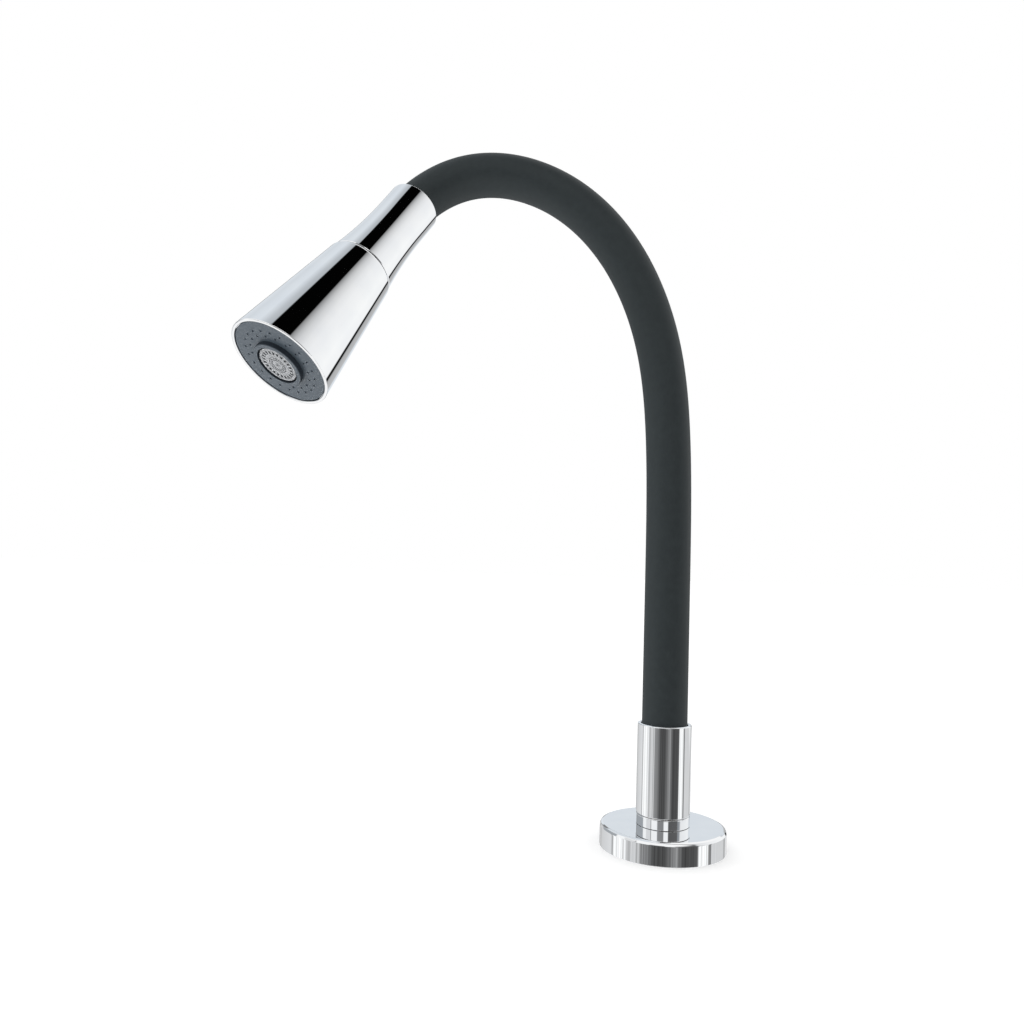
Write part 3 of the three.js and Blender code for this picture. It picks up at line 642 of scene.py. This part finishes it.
def chamfered_nut():
    """A hexagon whose corners are turned off by a shallow cone at both ends."""
    face_radius = NUT_FLATS / 2 - NUT_FACE_INSET
    vertices = []
    kinds = ["bore", "face", "hex"]
    rings = [(kind, NUT_FOOT) for kind in kinds] + [(kind, NUT_TOP) for kind in kinds[::-1]]
    for kind, height in rings:
        inward = 1 if height == NUT_FOOT else -1
        for j in range(NUT_SIDES):
            a = 2 * math.pi * j / NUT_SIDES
            reach = NUT_FLATS / 2 / math.cos((a + math.pi / 6) % (math.pi / 3) - math.pi / 6)
            radius = {"bore": SHANK_HOLE, "face": face_radius, "hex": reach}[kind]
            cone = (reach - face_radius) * NUT_CHAMFER if kind == "hex" else 0
            vertices.append((radius * math.cos(a), radius * math.sin(a), height + inward * cone))
    return make_object("nut", vertices, grid_faces(len(rings), NUT_SIDES, closed=True))


dress(chamfered_nut(), "base", "brass", "lock_nut")

# Swivel: slip washer, gland ring and sleeve

dress(lathe("slip_ring", [
    (SWIVEL_BORE, SLIP_FOOT),
    (SLIP_RADIUS, SLIP_FOOT, HAIR_ROUND),
    (SLIP_RADIUS, SLIP_TOP, HAIR_ROUND),
    (SWIVEL_BORE, SLIP_TOP),
]), "spout", "acetal", "slip_washer")
dress(lathe("gland_ring", [
    (SWIVEL_BORE, RING_FOOT),
    (RING_SKIRT_BORE, RING_FOOT),
    (RING_SKIRT_BORE, RING_SKIRT_FOOT),
    (RING_RADIUS, RING_SKIRT_FOOT, FINE_ROUND),
    (RING_RADIUS, RING_TOP, RIM_ROUND),
    (SPIGOT_RADIUS, RING_TOP),
    (SPIGOT_RADIUS, SPIGOT_TOP),
    (SWIVEL_BORE, SPIGOT_TOP),
]), "spout", "polished_chrome", "swivel_ring")
dress(lathe("sleeve", [
    (SLEEVE_BORE, SLEEVE_FOOT),
    (SLEEVE_RADIUS, SLEEVE_FOOT, SMALL_ROUND),
    (SLEEVE_RADIUS, SLEEVE_TOP, EASED_ROUND),
    (SLEEVE_RIM_MOUTH, SLEEVE_TOP, SMALL_ROUND),
    (SLEEVE_RIM_MOUTH, SLEEVE_RIM_FOOT, SMALL_ROUND),
    (SLEEVE_BORE, SLEEVE_RIM_FOOT),
], sides=VISIBLE_SIDES), "spout", "polished_chrome", "hose_sleeve")


# Route of the hose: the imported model's own


HOSE_LENGTH = FOOT_LENGTH + BEND_LENGTH + TAIL_LENGTH


def turn_at(turns, share):
    """A turn read from a row of turns at a share of its length."""
    place = min(max(share, 0), 1) * (len(turns) - 1)
    before = min(int(place), len(turns) - 2)
    return turns[before] + (turns[before + 1] - turns[before]) * (place - before)


def unit(vector):
    return vector / np.linalg.norm(vector)


def lay_route():
    """Rows of place, along, forward and side, turned a little at each step up the hose."""
    step = HOSE_LENGTH / ROUTE_STEPS
    place = np.array([0, 0, HOSE_SEAT], float)
    along = np.array([0, 0, 1.0])
    forward = np.array([-1.0, 0, 0])
    side = np.array([0, -1.0, 0])
    rows = [(place, along, forward, side)]
    for i in range(ROUTE_STEPS):
        share = ((i + 0.5) * step - FOOT_LENGTH) / BEND_LENGTH
        per_step = (len(FORWARD_TURNS) - 1) * step / BEND_LENGTH
        bends = 0 < share < 1
        ahead = math.radians(turn_at(FORWARD_TURNS, share)) * per_step if bends else 0
        aside = math.radians(turn_at(SIDE_TURNS, share)) * per_step if bends else 0
        lean = forward * ahead + side * aside
        place = place + unit(along + lean / 2) * step
        along = unit(along + lean)
        forward = unit(forward - along * (forward @ along))
        side = side - along * (side @ along)
        side = unit(side - forward * (side @ forward))
        rows.append((place, along, forward, side))
    return np.array(rows)


route = lay_route()


def route_at(distance):
    """Place, along, forward and side at a distance along the hose."""
    index = min(max(distance / HOSE_LENGTH * ROUTE_STEPS, 0), ROUTE_STEPS)
    before = min(int(index), ROUTE_STEPS - 1)
    return route[before] + (route[before + 1] - route[before]) * (index - before)


# The hose bends over a reach on both sides of each station, where two bodies meet
STATIONS = [FOOT_LENGTH + BEND_LENGTH * (i + 1) / (BEND_POINTS + 1) for i in range(BEND_POINTS)]


def hose_stretch(name, low, high, fineness, outer, inner, caps):
    """A tube along the route; outer gives its radius at a distance and an angle."""
    step, sides = fineness
    rows = max(2, int(math.ceil((high - low) / step)) + 1)
    distances = np.linspace(low, high, rows)
    angles = np.arange(sides) * 2 * math.pi / sides
    shells = []
    for radius_at in (outer, lambda d, a: inner):
        for d in distances:
            place, _, forward, side = route_at(d)
            for a in angles:
                r = radius_at(d, a)
                shells.append(place + forward * r * math.cos(a) + side * r * math.sin(a))
    faces = grid_faces(rows, sides)
    inner_first = rows * sides
    faces += [face[::-1] for face in grid_faces(rows, sides, first=inner_first)]
    for end, row in ((0, 0), (1, rows - 1)):
        if caps[end]:
            for j in range(sides):
                k = (j + 1) % sides
                low_ring, high_ring = row * sides, inner_first + row * sides
                faces.append((low_ring + j, low_ring + k, high_ring + k, high_ring + j))
    return make_object(name, shells, faces, crease=HOSE_CREASE)


def hose_layers():
    """Cover, winding and water tube, each in seven lengths, one round each joint."""
    middles = [0] + [(a + b) / 2 for a, b in zip(STATIONS, STATIONS[1:])] + [HOSE_LENGTH]

    def cover_radius(distance, angle):
        return HOSE_RADIUS

    def winding_radius(distance, angle):
        turn = (distance / WINDING_PITCH - angle / (2 * math.pi)) % 1
        groove = (0.5 + 0.5 * math.cos(2 * math.pi * turn)) ** GROOVE_SHARPNESS
        return WINDING_RADIUS - WINDING_GROOVE * groove

    def tube_radius(distance, angle):
        return TUBE_RADIUS

    for i, station in enumerate(STATIONS):
        low, high = middles[i], middles[i + 1]
        caps = (i == 0, i == BEND_POINTS - 1)
        inner_low = INNER_FROM if i == 0 else low
        cover = hose_stretch(
            f"cover_{i + 1}", low, high, COVER_MESH, cover_radius, COVER_BORE, caps)
        winding = hose_stretch(
            f"winding_{i + 1}", inner_low, high, WINDING_MESH, winding_radius, WINDING_BORE, caps)
        tube = hose_stretch(
            f"tube_{i + 1}", inner_low, high, TUBE_MESH, tube_radius, TUBE_BORE, caps)
        dress(cover, None, "charcoal_silicone", "silicone_cover")
        links = [f"gooseneck_{i + 1}"] + (["gooseneck_8"] if i == BEND_POINTS - 1 else [])
        dress(winding, None, "steel", *links)
        dress(tube, None, "tube_plastic", "water_tube")
        for piece in (cover, winding, tube):
            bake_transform(piece)
            piece.visible_glossy = False  # the photographed polish doesn't mirror the hose


hose_layers()

# Head: its own Z runs from the collar's mouth to the face

hose_end = route_at(HOSE_LENGTH)
head_z = unit(hose_end[1])
head_x = unit(hose_end[2])
head_y = np.cross(head_z, head_x)
mouth = hose_end[0] - head_z * MOUTH_TO_HOSE_END
HEAD = Matrix.Identity(4)
for row in range(3):
    HEAD[row][:] = (head_x[row], head_y[row], head_z[row], mouth[row] * MM)


def collar_flare():
    """The collar's side: straight at the mouth, then widening in one curve to the seam."""
    end = COLLAR_LENGTH - COLLAR_LIP_LENGTH
    bend = (COLLAR_STRAIGHT + COLLAR_LENGTH) / 2
    points = []
    for i in range(COLLAR_FLARE_STEPS + 1):
        t = i / COLLAR_FLARE_STEPS
        r = COLLAR_MOUTH * (1 - t * t) + COLLAR_SEAM * t * t
        z = COLLAR_STRAIGHT * (1 - t) ** 2 + 2 * bend * t * (1 - t) + end * t * t
        points.append((r, z))
    return points


dress(lathe("collar", [
    (COLLAR_BORE, 0, EASED_ROUND),
    (COLLAR_MOUTH, 0, EASED_ROUND),
    *collar_flare(),
    *[(COLLAR_SEAM - inward, COLLAR_LENGTH - back) for inward, back in COLLAR_LIP],
    (COLLAR_LOW_BORE, COLLAR_LENGTH),
    (COLLAR_LOW_BORE, COLLAR_WEB_FOOT),
    (COLLAR_WEB_BORE, COLLAR_WEB_FOOT),
    (COLLAR_WEB_BORE, COLLAR_WEB_TOP),
    (COLLAR_BORE, COLLAR_WEB_TOP),
], HEAD, VISIBLE_SIDES), "head", "polished_chrome", "head_collar")

LEDGE = PLATE_FRONT - PLATE_THICKNESS - PLATE_GAP
PLATE_HOLE = PLATE_RADIUS + PLATE_GAP
BELL_SLOPE = (LIP_RADIUS - BELL_SEAM) / (FACE - BELL_TOP)
LEDGE_BORE = BELL_SEAM + BELL_SLOPE * (LEDGE - BELL_TOP) - BELL_WALL
dress(lathe("bell", [
    (BELL_THROAT, BELL_TOP),
    (BELL_SEAM, BELL_TOP, SHOULDER_ROUND),
    (LIP_RADIUS, FACE, SOFT_ROUND),
    (PLATE_HOLE, FACE, EASED_ROUND),
    (PLATE_HOLE, LEDGE),
    (LEDGE_BORE, LEDGE),
    (BELL_SEAM + BELL_SLOPE * BELL_WEB - BELL_WALL, BELL_TOP + BELL_WEB),
    (BELL_THROAT, BELL_TOP + BELL_WEB),
], HEAD, VISIBLE_SIDES), "bell", "polished_chrome", "spray_bell")

# Face: plate with its boss, and the nozzles set in it

PLATE_BACK = PLATE_FRONT - PLATE_THICKNESS


def nozzle_places():
    return [
        place
        for radius, count, share in NOZZLE_RINGS
        for place in around(radius, count, share * 2 * math.pi / count)
    ]


def face_plate():
    """The plate, with one hole for the boss and one for each nozzle."""
    rim = circle(PLATE_RADIUS - PLATE_EDGE)
    middle = circle(BOSS_RADIUS - BOSS_OVERLAP)
    seats = [circle(TIP_RADIUS, SEAT_SIDES, x, y) for x, y, _ in nozzle_places()]
    return pierced("face_plate", [rim, middle, *seats], PLATE_BACK, PLATE_FRONT, PLATE_EDGE, HEAD)


dress(face_plate(), "bell", "slate_plastic", "nozzle_plate")
boss = dress(lathe("face_boss", [
    (BOSS_BORE, BOSS_FRONT, CRISP_ROUND),
    (BOSS_RADIUS, BOSS_FRONT, BOSS_ROUND),
    (BOSS_RADIUS, PLATE_FRONT - BOSS_OVERLAP),
    (BOSS_RADIUS - BOSS_TAPER, PLATE_BACK),
    (BOSS_SKIRT_RADIUS, PLATE_BACK),
    (BOSS_SKIRT_RADIUS, BOSS_SKIRT_TOP),
    (BOSS_SKIRT_BORE, BOSS_SKIRT_TOP),
    (BOSS_SKIRT_BORE, BOSS_WEB_FOOT),
    (BOSS_BORE, BOSS_WEB_FOOT),
], HEAD), "bell", "slate_plastic")
# painted shade: the boss's walls get the darker slate, as if in shade
paint_shading_on_walls(boss, MATERIALS["painted_shade_slate"], BOSS_LEAN)

tip = revolved([
    (TIP_BORE, PLATE_FRONT - TIP_DEPTH),
    (TIP_RADIUS - TIP_GAP, PLATE_FRONT - TIP_DEPTH),
    (TIP_RADIUS - TIP_GAP, PLATE_FRONT + TIP_STAND, FINE_ROUND),
    (TIP_BORE, PLATE_FRONT + TIP_STAND, LIP_ROUND),
], TIP_SIDES)
tips = joined("nozzle_tips", [moved(tip, x, y) for x, y, _ in nozzle_places()], HEAD)
dress(tips, "bell", "slate_plastic")

# Aerator: housing, grille and what lies behind it

dress(lathe("aerator_ring", [
    (AERATOR_BORE, AERATOR_TOP),
    (AERATOR_RADIUS, AERATOR_TOP),
    (AERATOR_RADIUS, AERATOR_FRONT, RIM_ROUND),
    (AERATOR_BORE, AERATOR_FRONT, HAIR_ROUND),
], HEAD), "bell", "pale_grey_plastic", "aerator_housing")

GRILLE_FRONT = AERATOR_FRONT - GRILLE_SETBACK


def grille_loops():
    """The grille's rim, its slots, which narrow inwards, and its rings of round holes."""
    loops = [circle(GRILLE_RADIUS - GRILLE_EDGE)]
    long = SLOT_LENGTH / 2 + GRILLE_EDGE
    wide = SLOT_WIDTH / 2 + GRILLE_EDGE
    narrow = wide * SLOT_NARROWING
    for x, y, a in around(SLOT_CIRCLE, SLOT_COUNT):
        c, s = math.cos(a), math.sin(a)
        corners = [(long, wide), (-long, narrow), (-long, -narrow), (long, -wide)]
        loops.append([(x + u * c - v * s, y + u * s + v * c) for u, v in corners])
    for i, (radius, count, hole) in enumerate(HOLE_RINGS):
        for x, y, _ in around(radius, count, i % 2 * math.pi / count):
            loops.append(circle(hole + GRILLE_EDGE, HOLE_SIDES, x, y))
    return loops


grille = pierced(
    "aerator_face",
    grille_loops(),
    GRILLE_FRONT - GRILLE_THICKNESS,
    GRILLE_FRONT,
    GRILLE_EDGE,
    HEAD,
)
dress(grille, "bell", "pale_grey_plastic", "aerator_grille")
DRUM_RADIUS = SLOT_CIRCLE - SLOT_LENGTH / 2 - DRUM_MARGIN
DRUM_FRONT = AERATOR_FRONT - DRUM_SETBACK - GRILLE_THICKNESS
# painted shade: the drum's face is dark for the shade seen through the slots
drum = dress(lathe("aerator_drum", [
    (0, DRUM_FRONT - DRUM_DEPTH),
    (DRUM_RADIUS + DRUM_FLARE, DRUM_FRONT - DRUM_DEPTH),
    (DRUM_RADIUS, DRUM_FRONT),
    (0, DRUM_FRONT),
], HEAD), "bell", "steel", "aerator_screen", material=MATERIALS["painted_shade_screen"])
# painted light: the drum's sloping walls are pale where the slots look lit
paint_shading_on_walls(drum, MATERIALS["pale_grey_plastic"], DRUM_LEAN)
# painted shade: a black disc behind the drum, standing for the shade inside the aerator
WELL_BACK, WELL_FRONT = [DRUM_FRONT - depth for depth in WELL_DEPTHS]
dress(lathe("aerator_well", [
    (0, WELL_BACK),
    (WELL_RADIUS, WELL_BACK),
    (WELL_RADIUS, WELL_FRONT),
    (0, WELL_FRONT),
], HEAD), "bell", "seal_rubber")

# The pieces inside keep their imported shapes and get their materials

slots = {part["node"]: part["material_slot"] for part in frame["record"]["subparts"]}
for name, node in frame["nodes"].items():
    if node.hide_render:
        continue
    node.data.materials.clear()
    node.data.materials.append(MATERIALS[slots[name]])


# Stage: camera, world, floor and lamps

CAMERA_PLACE = Vector((-50, -427.6, 132.4))
CAMERA_AHEAD = Vector((-0.0639, 0.996, 0.0623))
CAMERA_RIGHT = Vector((0.9976, 0.062, 0.0319))
SENSOR_WIDTH = 36
FOCAL_SHARE = 0.8415  # focal length over the sensor's width
CLIP_START, CLIP_END = 0.01, 50  # metres


def stage_camera():
    data = bpy.data.cameras.new("camera")
    data.sensor_width = SENSOR_WIDTH
    data.lens = FOCAL_SHARE * SENSOR_WIDTH
    data.clip_start = CLIP_START
    data.clip_end = CLIP_END
    camera = bpy.data.objects.new("camera", data)
    bpy.context.collection.objects.link(camera)
    ahead = CAMERA_AHEAD.normalized()
    right = (CAMERA_RIGHT - ahead * CAMERA_RIGHT.dot(ahead)).normalized()
    turned = Matrix((right, right.cross(ahead), -ahead)).transposed().to_4x4()
    camera.matrix_world = Matrix.Translation(CAMERA_PLACE * MM) @ turned
    bpy.context.scene.camera = camera


stage_camera()


def grey(level, blue=0.01):
    """A display level from 0 to 1 as a linear colour by the sRGB curve, a little bluer than grey."""
    linear = level / 12.92 if level <= 0.04045 else ((level + 0.055) / 1.055) ** 2.4
    return (linear * (1 - blue), linear, min(1, linear * (1 + blue)))


# The studio that the polish mirrors. Three drums of soft cards stand round the spout: a low and
# a middle one round the base's axis, and a high one round the head's axis, for the directions
# that oppose it. A card is an angle in degrees round the drum, a display level and, for a cool
# card, how much bluer it is. Angles in the low and middle drums are positive to the right of the
# side that faces the camera. White caps close the low drums and the high one.
PALE, WHITE, MIDDLE, DARK, BLACK = 0.89, 1, 0.58, 0.3, 0.01
COOL = 0.06
LOW_CARDS = [
    (-180, DARK), (-172, DARK), (-160, PALE), (-152, 0.7), (-146, 0.82), (-106, PALE), (-101, 0.6),
    (-98, WHITE), (-80, WHITE), (-68, 0.9), (-62, 0.66), (-56, 0.86), (-44, 0.8), (-38, MIDDLE),
    (-20, 0.42), (-14, DARK), (5, DARK), (25, MIDDLE), (36, DARK), (58, DARK), (66, 0.4),
    (68, WHITE), (88, WHITE), (91.5, 0.5), (96, 0.5), (99, 0.85), (138, 0.84), (146, 0.6),
    (152, PALE), (169, PALE), (172, DARK), (180, DARK),
]
MIDDLE_CARDS = [
    (-180, DARK), (-150, DARK), (-143, 0.66, COOL), (-94, 0.66, COOL), (-90, WHITE), (-76, WHITE),
    (-72, PALE), (-53, PALE), (-51, 0.4), (-48, WHITE), (-24, WHITE), (-21, 0.56), (3, 0.54),
    (6, WHITE), (22, WHITE), (25, 0.36), (64, 0.38), (68, 0.6, COOL), (146, 0.64, COOL), (180, 0.4),
]
HIGH_CARDS = [
    (-180, 0.92, COOL), (-178, 0.9, COOL), (-174, 0.5), (-165, 0.5), (-161, 0.9, COOL),
    (-131, 0.87, COOL), (-114, 0.895, COOL), (-100, 0.905, COOL), (-90, 0.845, COOL),
    (-80, 0.77, COOL), (-69, 0.72, COOL), (-67, BLACK), (-21, BLACK),
    (-18.5, 0.55), (-8, 0.76), (0, 0.84), (15, 0.92), (32, 0.96), (81, 1), (111, 0.98),
    (113.5, 0.06), (120, 0.06), (124, 0.7), (146, 0.76), (152, 0.89, COOL), (163, 0.905, COOL),
    (180, 0.92, COOL),
]
RIBS = [(-100, 0), (-96, 1), (98, 1), (102, 0.4)]  # how strongly fine ribs break the low cards
RIB_SCALE = 90
RIB_DETAIL = 3
RIB_LEVELS = (0.3, 1.7)
UP = Vector((0, 0, 1))
BASE_TO_CAMERA = Vector((-0.114, -0.9935, 0))
BASE_TO_RIGHT = Vector((0.9935, -0.114, 0))
HEAD_TO_CAMERA = Vector((0.24, -0.924, -0.294))

# Soft edges of the drums, each from one cosine to another between a direction and an axis
FLOOR_EDGE = (-0.38, -0.5)  # along the upright axis, falling
MIDDLE_EDGE = (0.02, 0.1)
LOW_CAP_EDGE = (0.45, 0.55)
HIGH_EDGE = (0.4, 0.48)  # along the head's axis, turned round
HIGH_CAP_EDGE = (0.86, 0.9)
BACK = Vector((0.35, 0.937, 0))  # a pale card at the back, which the flange's top mirrors
BACK_EDGE = (0.85, 0.93)
BACK_RISE = (0.24, 0.28)  # along the upright axis, where that card begins
ROOM_LEVEL = 0.9  # the plain light on everything that isn't polished


def direction_dot(nodes, links, direction, vector):
    """How far a direction leans along a vector."""
    dot = nodes.new("ShaderNodeVectorMath")
    dot.operation = "DOT_PRODUCT"
    dot.inputs[1].default_value = vector
    links.new(direction, dot.inputs[0])
    return dot.outputs["Value"]


def drum_node(nodes, links, direction, ahead, aside, cards):
    """The cards of a drum round the axis that stands across the axes ahead and aside.

    Gives the share of a turn that a direction has, and the tone of the card there.
    """
    angle = nodes.new("ShaderNodeMath")
    angle.operation = "ARCTAN2"
    links.new(direction_dot(nodes, links, direction, aside), angle.inputs[0])
    links.new(direction_dot(nodes, links, direction, ahead), angle.inputs[1])
    share = nodes.new("ShaderNodeMapRange")
    share.inputs["From Min"].default_value = -math.pi
    share.inputs["From Max"].default_value = math.pi
    links.new(angle.outputs["Value"], share.inputs["Value"])
    stops = [(degrees / 360 + 0.5, grey(*tone)) for degrees, *tone in cards]
    return share.outputs["Result"], ramp_node(nodes, links, share.outputs["Result"], stops)


def edge_node(nodes, links, direction, axis, start, end):
    """Rises softly from 0 to 1 as a direction leans along an axis from start to end."""
    edge = nodes.new("ShaderNodeMapRange")
    edge.interpolation_type = "SMOOTHSTEP"
    edge.inputs["From Min"].default_value = start
    edge.inputs["From Max"].default_value = end
    links.new(direction_dot(nodes, links, direction, axis), edge.inputs["Value"])
    return edge.outputs["Result"]


def mix_node(nodes, links, factor, low, high):
    """Two colours mixed; each is a socket or a plain colour."""
    mix = nodes.new("ShaderNodeMix")
    mix.data_type = "RGBA"
    links.new(factor, mix.inputs["Factor"])
    for name, colour in (("A", low), ("B", high)):
        if isinstance(colour, tuple):
            mix.inputs[name].default_value = (*colour, 1)
        else:
            links.new(colour, mix.inputs[name])
    return mix.outputs["Result"]


def stage_world():
    world = bpy.data.worlds.new("world")
    bpy.context.scene.world = world
    world.use_nodes = True
    nodes, links = world.node_tree.nodes, world.node_tree.links
    direction = nodes.new("ShaderNodeTexCoord").outputs["Generated"]
    white = grey(WHITE, 0)

    def drum(ahead, aside, cards):
        return drum_node(nodes, links, direction, ahead, aside, cards)

    def edge(axis, span):
        return edge_node(nodes, links, direction, axis, *span)

    def mix(factor, low, high):
        return mix_node(nodes, links, factor, low, high)

    share, low = drum(BASE_TO_CAMERA, BASE_TO_RIGHT, LOW_CARDS)
    _, middle = drum(BASE_TO_CAMERA, BASE_TO_RIGHT, MIDDLE_CARDS)
    ribs = nodes.new("ShaderNodeTexNoise")
    ribs.noise_dimensions = "1D"
    ribs.inputs["Scale"].default_value = RIB_SCALE
    ribs.inputs["Detail"].default_value = RIB_DETAIL
    links.new(share, ribs.inputs["W"])
    rib_level = range_node(nodes, links, ribs.outputs["Fac"], *RIB_LEVELS)
    ribbed = nodes.new("ShaderNodeVectorMath")
    ribbed.operation = "SCALE"
    links.new(low, ribbed.inputs[0])
    links.new(rib_level, ribbed.inputs["Scale"])
    rib_stops = [(degrees / 360 + 0.5, grey(strength, 0)) for degrees, strength in RIBS]
    low = mix(ramp_node(nodes, links, share, rib_stops), low, ribbed.outputs["Vector"])

    axis = Vector(head_z)
    ahead = (HEAD_TO_CAMERA - axis * HEAD_TO_CAMERA.dot(axis)).normalized()
    _, high = drum(ahead, ahead.cross(axis), HIGH_CARDS)

    around_base = mix(edge(UP, MIDDLE_EDGE), low, middle)
    around_base = mix(edge(UP, LOW_CAP_EDGE), around_base, white)
    high = mix(edge(-axis, HIGH_CAP_EDGE), high, white)
    behind = mix(edge(UP, BACK_RISE), high, grey(PALE, COOL))
    high = mix(edge(BACK, BACK_EDGE), high, behind)
    drums = mix(edge(-axis, HIGH_EDGE), around_base, high)
    mirrored = mix(edge(UP, FLOOR_EDGE), drums, white)

    path = nodes.new("ShaderNodeLightPath")
    lit = mix(path.outputs["Is Glossy Ray"], grey(ROOM_LEVEL, 0), mirrored)
    seen = mix(path.outputs["Is Camera Ray"], lit, white)
    links.new(seen, nodes["Background"].inputs["Color"])


stage_world()

FLOOR_HALF = 12  # metres
FLOOR_ROUGHNESS = 0.9
FLOOR_TONE = (0.97, 0.97, 0.97, 1)
FLOOR_GLOW = (1, 1, 1, 1)
FLOOR_LIFT = (0.2, 0.34)  # strength of the glow near the base and far from it; the weaker glow near the base is painted shade round it
FLOOR_NEAR, FLOOR_FAR = 0.03, 0.055  # metres


def stage_floor():
    """A pale floor whose faint glow to the camera takes the grey out of it, away from the base; near
    the base the glow is weaker, a painted shade that deepens the real shadow there.
    """
    corners = [(-1, -1), (1, -1), (1, 1), (-1, 1)]
    mesh = bpy.data.meshes.new("floor")
    mesh.from_pydata([(x * FLOOR_HALF, y * FLOOR_HALF, 0) for x, y in corners], [], [(0, 1, 2, 3)])
    floor = bpy.data.objects.new("floor", mesh)
    bpy.context.collection.objects.link(floor)
    made, nodes, links = new_material("floor")
    shader = nodes["Principled BSDF"]
    shader.inputs["Roughness"].default_value = FLOOR_ROUGHNESS
    shader.inputs["Specular IOR Level"].default_value = 0
    shader.inputs["Base Color"].default_value = FLOOR_TONE
    shader.inputs["Emission Color"].default_value = FLOOR_GLOW
    away = nodes.new("ShaderNodeVectorMath")
    away.operation = "LENGTH"
    links.new(nodes.new("ShaderNodeTexCoord").outputs["Object"], away.inputs[0])
    lift = nodes.new("ShaderNodeMapRange")
    lift.inputs["From Min"].default_value = FLOOR_NEAR
    lift.inputs["From Max"].default_value = FLOOR_FAR
    lift.inputs["To Min"].default_value = FLOOR_LIFT[0]
    lift.inputs["To Max"].default_value = FLOOR_LIFT[1]
    links.new(away.outputs["Value"], lift.inputs["Value"])
    path = nodes.new("ShaderNodeLightPath")
    shown = nodes.new("ShaderNodeMath")
    shown.operation = "MULTIPLY"
    links.new(lift.outputs["Result"], shown.inputs[0])
    links.new(path.outputs["Is Camera Ray"], shown.inputs[1])
    links.new(shown.outputs["Value"], shader.inputs["Emission Strength"])
    mesh.materials.append(made)
    floor.visible_glossy = False


stage_floor()

# Lamps: place and aim in metres, width of the disk, power in watts, spread in degrees
LAMPS = {
    "side": ((-1, -0.35, 0.06), (-0.1, -0.02, 0.22), 0.4, 3.5, 180),
    "face": ((-0.348, 0.055, 0.077), (-0.178, -0.06, 0.218), 0.1, 0.04, 60),
    "top": ((-0.3, -0.5, 1.4), (-0.06, 0, 0.15), 0.8, 1.5, 180),
}


def lamp(name, place, aim, size, power, spread):
    data = bpy.data.lights.new(name, "AREA")
    data.shape = "DISK"
    data.size = size
    data.energy = power
    data.spread = math.radians(spread)
    made = bpy.data.objects.new(name, data)
    bpy.context.collection.objects.link(made)
    made.location = place
    made.rotation_mode = "QUATERNION"
    made.rotation_quaternion = (Vector(aim) - Vector(place)).to_track_quat("-Z", "Y")
    made.visible_glossy = False


for lamp_name, settings in LAMPS.items():
    lamp(lamp_name, *settings)
